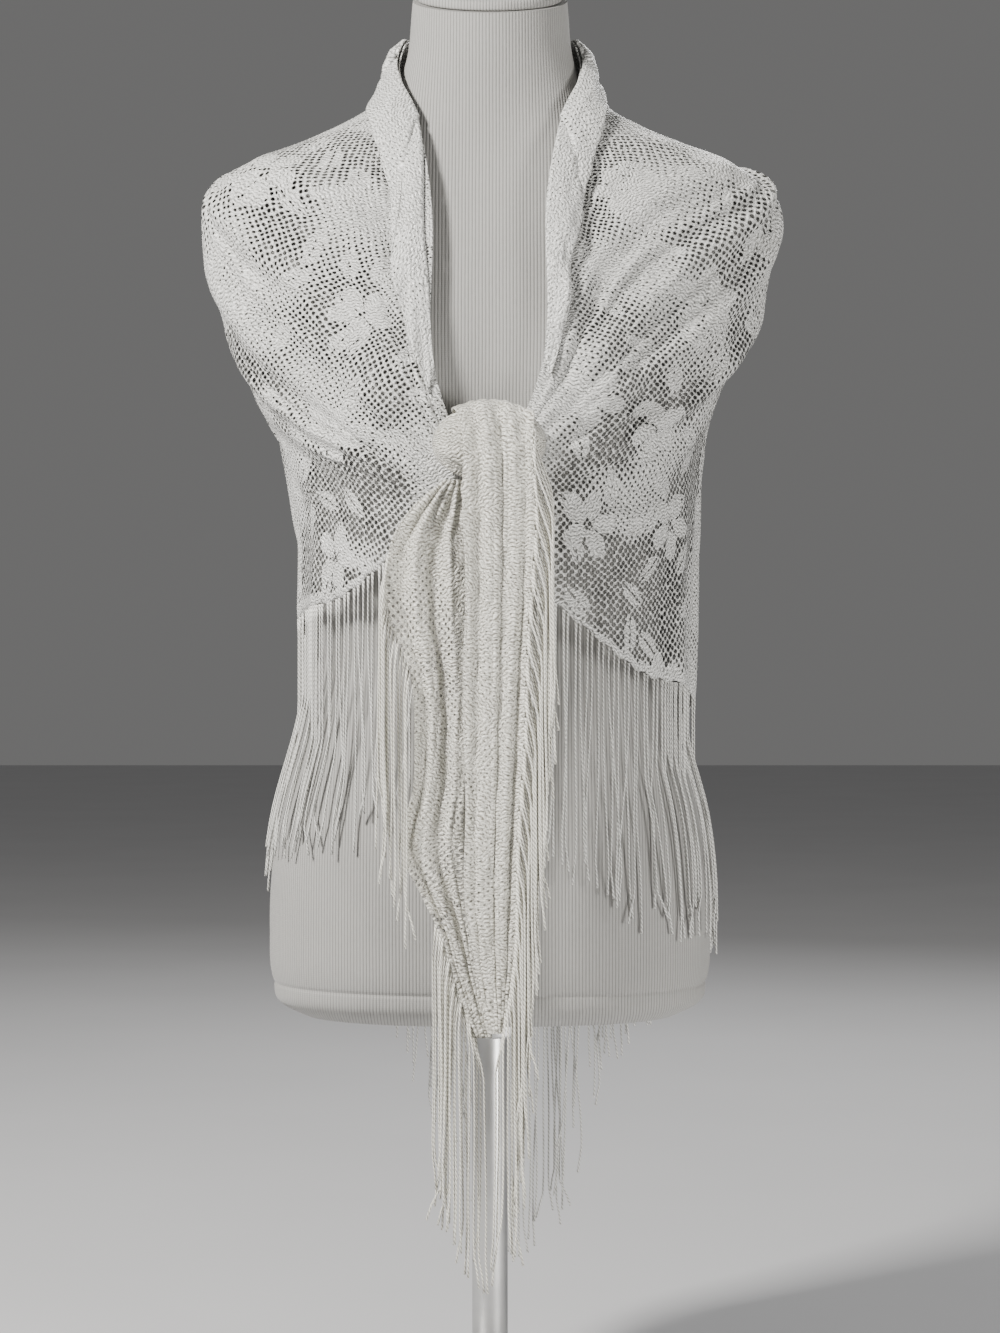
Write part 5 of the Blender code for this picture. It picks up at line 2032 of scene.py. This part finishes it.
@dataclass
class DressForm:
    """The padded body in its jersey cover, with the neck's flat cap.

    Attributes:
        around: faces round the body.
        levels: faces up the body.
        seam_height: height of the seam over the form's bottom.
        seam_depth: how far it is pulled in.
        seam_width: half its width.
        cap_inset: how far the cap lies inside the neck.
        cap_height: the cap's thickness.
        cap_rim: how far its rims are rounded.
        cap_around: faces round the cap.
        rim_crowd: how much closer together the levels are by the rim and the seam.
        shoulder_crowd: the same by the shoulders.
        sharp_deg: the angle from which an edge stays sharp.
        seat: the gap below the cap.
        shape: the surface that the body follows.
    """

    around: int = 192
    levels: int = 190
    seam_height: float = 0.0225
    seam_depth: float = 0.0011
    seam_width: float = 0.0011
    cap_inset: float = 0.003
    cap_height: float = 0.007
    cap_rim: float = 0.0022
    cap_around: int = 128
    rim_crowd: float = 7.0
    shoulder_crowd: float = 2.5
    sharp_deg: float = 50.0
    seat: float = 0.0003
    shape: FormShape = FormShape()

    def build_body(self, finish: bpy.types.Material) -> bpy.types.Object:
        """Models the body from a cylinder that is cut into levels and shaped."""
        made = start_disc("form_body_jersey", self.around, 1.0, 1.0)
        self.cut_levels(made)
        shell = get_points(made.data)
        level = np.round((shell[:, 2] + 0.5) * self.levels).astype(int)
        angle = np.arctan2(shell[:, 1], shell[:, 0])
        z = self.heights()[level]
        points = self.shape.points(angle, z)
        seam = self.seam_depth * bump(z, FORM_BOTTOM + self.seam_height, self.seam_width)
        points[:, :2] *= (1 - seam / np.linalg.norm(points[:, :2], axis=1))[:, None]
        set_points(made.data, points)
        self.lay_ribs(made.data, angle, level, points)
        made.data.materials.append(finish)
        bpy.ops.object.shade_smooth_by_angle(angle=math.radians(self.sharp_deg))
        return made

    def cut_levels(self, body: bpy.types.Object) -> None:
        """Cuts the cylinder's wall into levels."""
        mesh = bmesh.new()
        mesh.from_mesh(body.data)
        upright = [e for e in mesh.edges if abs(e.verts[0].co.z - e.verts[1].co.z) > 0.5]
        bmesh.ops.subdivide_edges(mesh, edges=upright, cuts=self.levels - 1, use_grid_fill=True)
        mesh.to_mesh(body.data)
        mesh.free()

    def heights(self) -> Array:
        """Heights of the levels, closer together by the rim, the seam and the shoulders."""
        top = FORM_BOTTOM + FORM_RINGS[-1].height
        wanted = np.linspace(FORM_BOTTOM, top, 4000)
        crowd = 1 + self.rim_crowd * bump(wanted, FORM_BOTTOM + 0.012, 0.016)
        crowd += self.shoulder_crowd * bump(wanted, FORM_BOTTOM + 0.580, 0.030)
        run = np.concatenate([[0], np.cumsum(crowd[:-1])])
        return np.interp(np.linspace(0, run[-1], self.levels + 1), run, wanted)

    def lay_ribs(self, mesh: bpy.types.Mesh, angle: Array, level: Array, points: Array) -> None:
        """Lays the rib pattern out from the middle of the front and of the back."""
        places = np.zeros((len(points), 2))
        sides = np.zeros((len(points), 2))
        for row in np.unique(level):
            here = np.where(level == row)[0]
            for middle in (-0.5, 0.5):
                turn = (angle[here] / math.pi - middle + 1) % 2 - 1
                half = here[np.abs(turn) <= 0.5001]
                turn = turn[np.abs(turn) <= 0.5001]
                order = half[np.argsort(turn)]
                steps = np.linalg.norm(np.diff(points[order][:, :2], axis=0), axis=1)
                run = np.concatenate([[0], np.cumsum(steps)])
                run -= np.interp(0.0, np.sort(turn), run)
                target = sides if middle > 0 else places
                target[order, 0] = run + (0.5 if middle > 0 else 0.0)
                target[order, 1] = points[order, 2]
        corner = corner_vertices(mesh)
        total = np.empty(len(mesh.polygons), np.int32)
        mesh.polygons.foreach_get("loop_total", total)
        middle_y = np.add.reduceat(points[corner, 1], np.concatenate([[0], np.cumsum(total)[:-1]]))
        behind = np.repeat(middle_y > 0, total)
        set_corner_uv(mesh, np.where(behind[:, None], sides[corner], places[corner]))

    def build_cap(self, finish: bpy.types.Material) -> bpy.types.Object:
        """Models the neck's cap as a slanted disc with a rounded rim."""
        top = FORM_RINGS[-1]
        made = start_disc("form_neck_cap_jersey", self.cap_around, 1.0, self.cap_height)
        points = get_points(made.data)
        places = points[:, :2] * top.half_width
        points[:, 0] *= top.half_width - self.cap_inset
        points[:, 1] *= top.front - self.cap_inset
        points[:, 2] += self.shape.slant * points[:, 1]
        points[:, 2] += FORM_BOTTOM + top.height + self.seat + self.cap_height / 2
        set_points(made.data, points)
        set_uv(made.data, places)
        round_rims(made, self.cap_rim)
        made.data.materials.append(finish)
        return made

    def build(self, finishes: Finishes) -> list[bpy.types.Object]:
        """Models the body and its cap."""
        body = settle(self.build_body(finishes.jersey), ["form_body"])
        cap = settle(self.build_cap(finishes.jersey), ["form_neck_cap"])
        return [body, cap]


class Turned(NamedTuple):
    """One round piece of the stand.

    Attributes:
        name: the piece's name.
        node: the CAD node that it stands for.
        radius: its radius.
        low: height of its underside.
        high: height of its top.
        rim: how far its rims are rounded.
        border: width of the raised border round its top, or 0.
    """

    name: str
    node: str
    radius: float
    low: float
    high: float
    rim: float
    border: float = 0.0


@dataclass
class Stand:
    """The round base, the pole and the socket below the form.

    Attributes:
        base_radius: the base's radius.
        base_height: its thickness.
        pole_radius: the pole's radius.
        socket_radius: the socket's radius.
        socket_height: the socket's height.
        step_width: width of the step on the base's top.
        step_depth: how far that step goes down.
        around: faces round a piece.
        seat: the gap between two pieces.
    """

    base_radius: float = 0.140
    base_height: float = 0.012
    pole_radius: float = 0.0125
    socket_radius: float = 0.026
    socket_height: float = 0.016
    step_width: float = 0.0012
    step_depth: float = 0.0010
    around: int = 128
    seat: float = 0.0003

    def turned(self, part: Turned) -> bpy.types.Object:
        """A round piece with rounded rims."""
        made = start_disc(part.name, self.around, part.radius, part.high - part.low)
        points = get_points(made.data)
        points[:, 2] += (part.low + part.high) / 2
        set_points(made.data, points)
        if part.border:
            self.step_top(made, part.high, part.border)
        round_rims(made, part.rim)
        return made

    def step_top(self, piece: bpy.types.Object, top: float, inset: float) -> None:
        """Sinks the middle of the top a little, so that a border stands round it."""
        bpy.ops.object.mode_set(mode="EDIT")
        bpy.ops.mesh.select_mode(type="FACE")
        bpy.ops.mesh.select_all(action="DESELECT")
        mesh = bmesh.from_edit_mesh(piece.data)
        for face in mesh.faces:
            face.select = face.normal.z > 0.9 and abs(face.calc_center_median().z - top) < 1e-5
        bmesh.update_edit_mesh(piece.data)
        bpy.ops.mesh.inset(thickness=inset)
        bpy.ops.mesh.inset(thickness=self.step_width)
        bpy.ops.transform.translate(value=(0, 0, -self.step_depth))
        bpy.ops.object.mode_set(mode="OBJECT")

    def build(self, finishes: Finishes) -> list[bpy.types.Object]:
        """Models the stand's three pieces."""
        socket = FORM_BOTTOM - self.seat - self.socket_height
        base_at = (self.base_radius, 0.0, self.base_height)
        pole_at = (self.pole_radius, self.base_height + self.seat, socket - self.seat)
        socket_at = (self.socket_radius, socket, FORM_BOTTOM - self.seat)
        parts = (
            Turned("stand_base_turned", "stand_base", *base_at, 0.003, 0.020),
            Turned("stand_pole_tube", "stand_pole", *pole_at, 0.0006),
            Turned("stand_socket_cup", "stand_socket", *socket_at, 0.0020),
        )
        made = []
        for part in parts:
            piece = self.turned(part)
            piece.data.materials.append(finishes.metal)
            made.append(settle(piece, [part.node]))
        return made


# The setting


class Lamp(NamedTuple):
    """A square soft light.

    Attributes:
        name: its name.
        place: where it stands.
        size: length of its side.
        power: its power in watts.
        tint: its colour.
    """

    name: str
    place: tuple[float, float, float]
    size: float
    power: float
    tint: Colour


LAMPS = (
    Lamp("key_light", (-1.45, -1.15, 1.95), 0.35, 118.0, (1.0, 0.975, 0.935)),
    Lamp("fill_light", (1.6, -1.5, 0.4), 0.6, 36.0, (1.0, 0.98, 0.945)),
    Lamp("back_light", (0.6, 2.0, 1.9), 1.0, 26.0, (1.0, 1.0, 1.0)),
)


@dataclass
class Studio:
    """A pale floor, soft lights and the camera in front.

    Attributes:
        distance: the camera's distance in front of the origin.
        height: its height.
        aside: how far it stands to the right.
        lens: its focal length in mm.
        long_side: the picture's long side in mm behind that lens.
        aim_height: the height that the lights face.
        floor_size: length of the floor's side.
        floor_dark: its darker tone.
        floor_light: its lighter tone.
        sky: colour of the surroundings.
        sky_strength: their brightness.
    """

    distance: float = 1.8
    height: float = 0.53
    aside: float = 0.007
    lens: float = 69.43
    long_side: float = 36.0
    aim_height: float = 0.62
    floor_size: float = 24.0
    floor_dark: Rgba = (0.55, 0.55, 0.56, 1.0)
    floor_light: Rgba = (0.60, 0.60, 0.61, 1.0)
    sky: Rgba = (0.615, 0.61, 0.605, 1.0)
    sky_strength: float = 0.25

    def build_floor(self) -> bpy.types.Object:
        """A wide pale floor."""
        floor = start_grid("pale_floor", 8, 8, self.floor_size)
        made, t, shader = start_material("pale_floor_paint")
        place = t.add("ShaderNodeTexCoord").outputs["Object"]
        tone = t.noise(place, 3.0, 3.0)
        t.put(shader.inputs["Base Color"], t.mix(tone, self.floor_dark, self.floor_light))
        shader.inputs["Roughness"].default_value = 0.85
        floor.data.materials.append(made)
        return floor

    def light(self, lamp: Lamp) -> None:
        """A square soft light that faces the shawl."""
        data = bpy.data.lights.new(lamp.name, "AREA")
        data.shape = "SQUARE"
        data.size = lamp.size
        data.energy = lamp.power
        data.color = lamp.tint
        made = link(lamp.name, data)
        made.location = lamp.place
        aim = Vector((0, 0, self.aim_height)) - made.location
        made.rotation_euler = aim.to_track_quat("-Z", "Y").to_euler()

    def build(self) -> None:
        """Sets the floor, the lights, the surroundings and the camera."""
        self.build_floor()
        for lamp in LAMPS:
            self.light(lamp)
        world = bpy.data.worlds.new("pale_room")
        world.use_nodes = True
        sky = world.node_tree.nodes["Background"]
        sky.inputs["Color"].default_value = self.sky
        sky.inputs["Strength"].default_value = self.sky_strength
        bpy.context.scene.world = world
        data = bpy.data.cameras.new("front_camera")
        data.lens = self.lens
        data.sensor_width = self.long_side
        camera = link("front_camera", data)
        camera.location = (self.aside, -self.distance, self.height)
        camera.rotation_euler = (math.radians(90), 0, 0)
        bpy.context.scene.camera = camera


def main() -> None:
    """Builds the shawl, the form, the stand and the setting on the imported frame."""
    logging.basicConfig(level=logging.INFO, format="%(message)s")
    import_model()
    finishes = Finishes.build()
    DressForm().build(finishes)
    Stand().build(finishes)
    cape = Cape().build(finishes)
    collar = Collar().build(finishes)
    Knot().build(finishes)
    shape = Tails()
    tails = shape.build(finishes)
    fringes = CapeFringe().build(finishes)
    for fringe in TAIL_FRINGES:
        fringes.append(fringe.build(shape.hem(fringe.side > 0), finishes.tail_fringe))
    Studio().build()


if __name__ == "__main__":
    main()
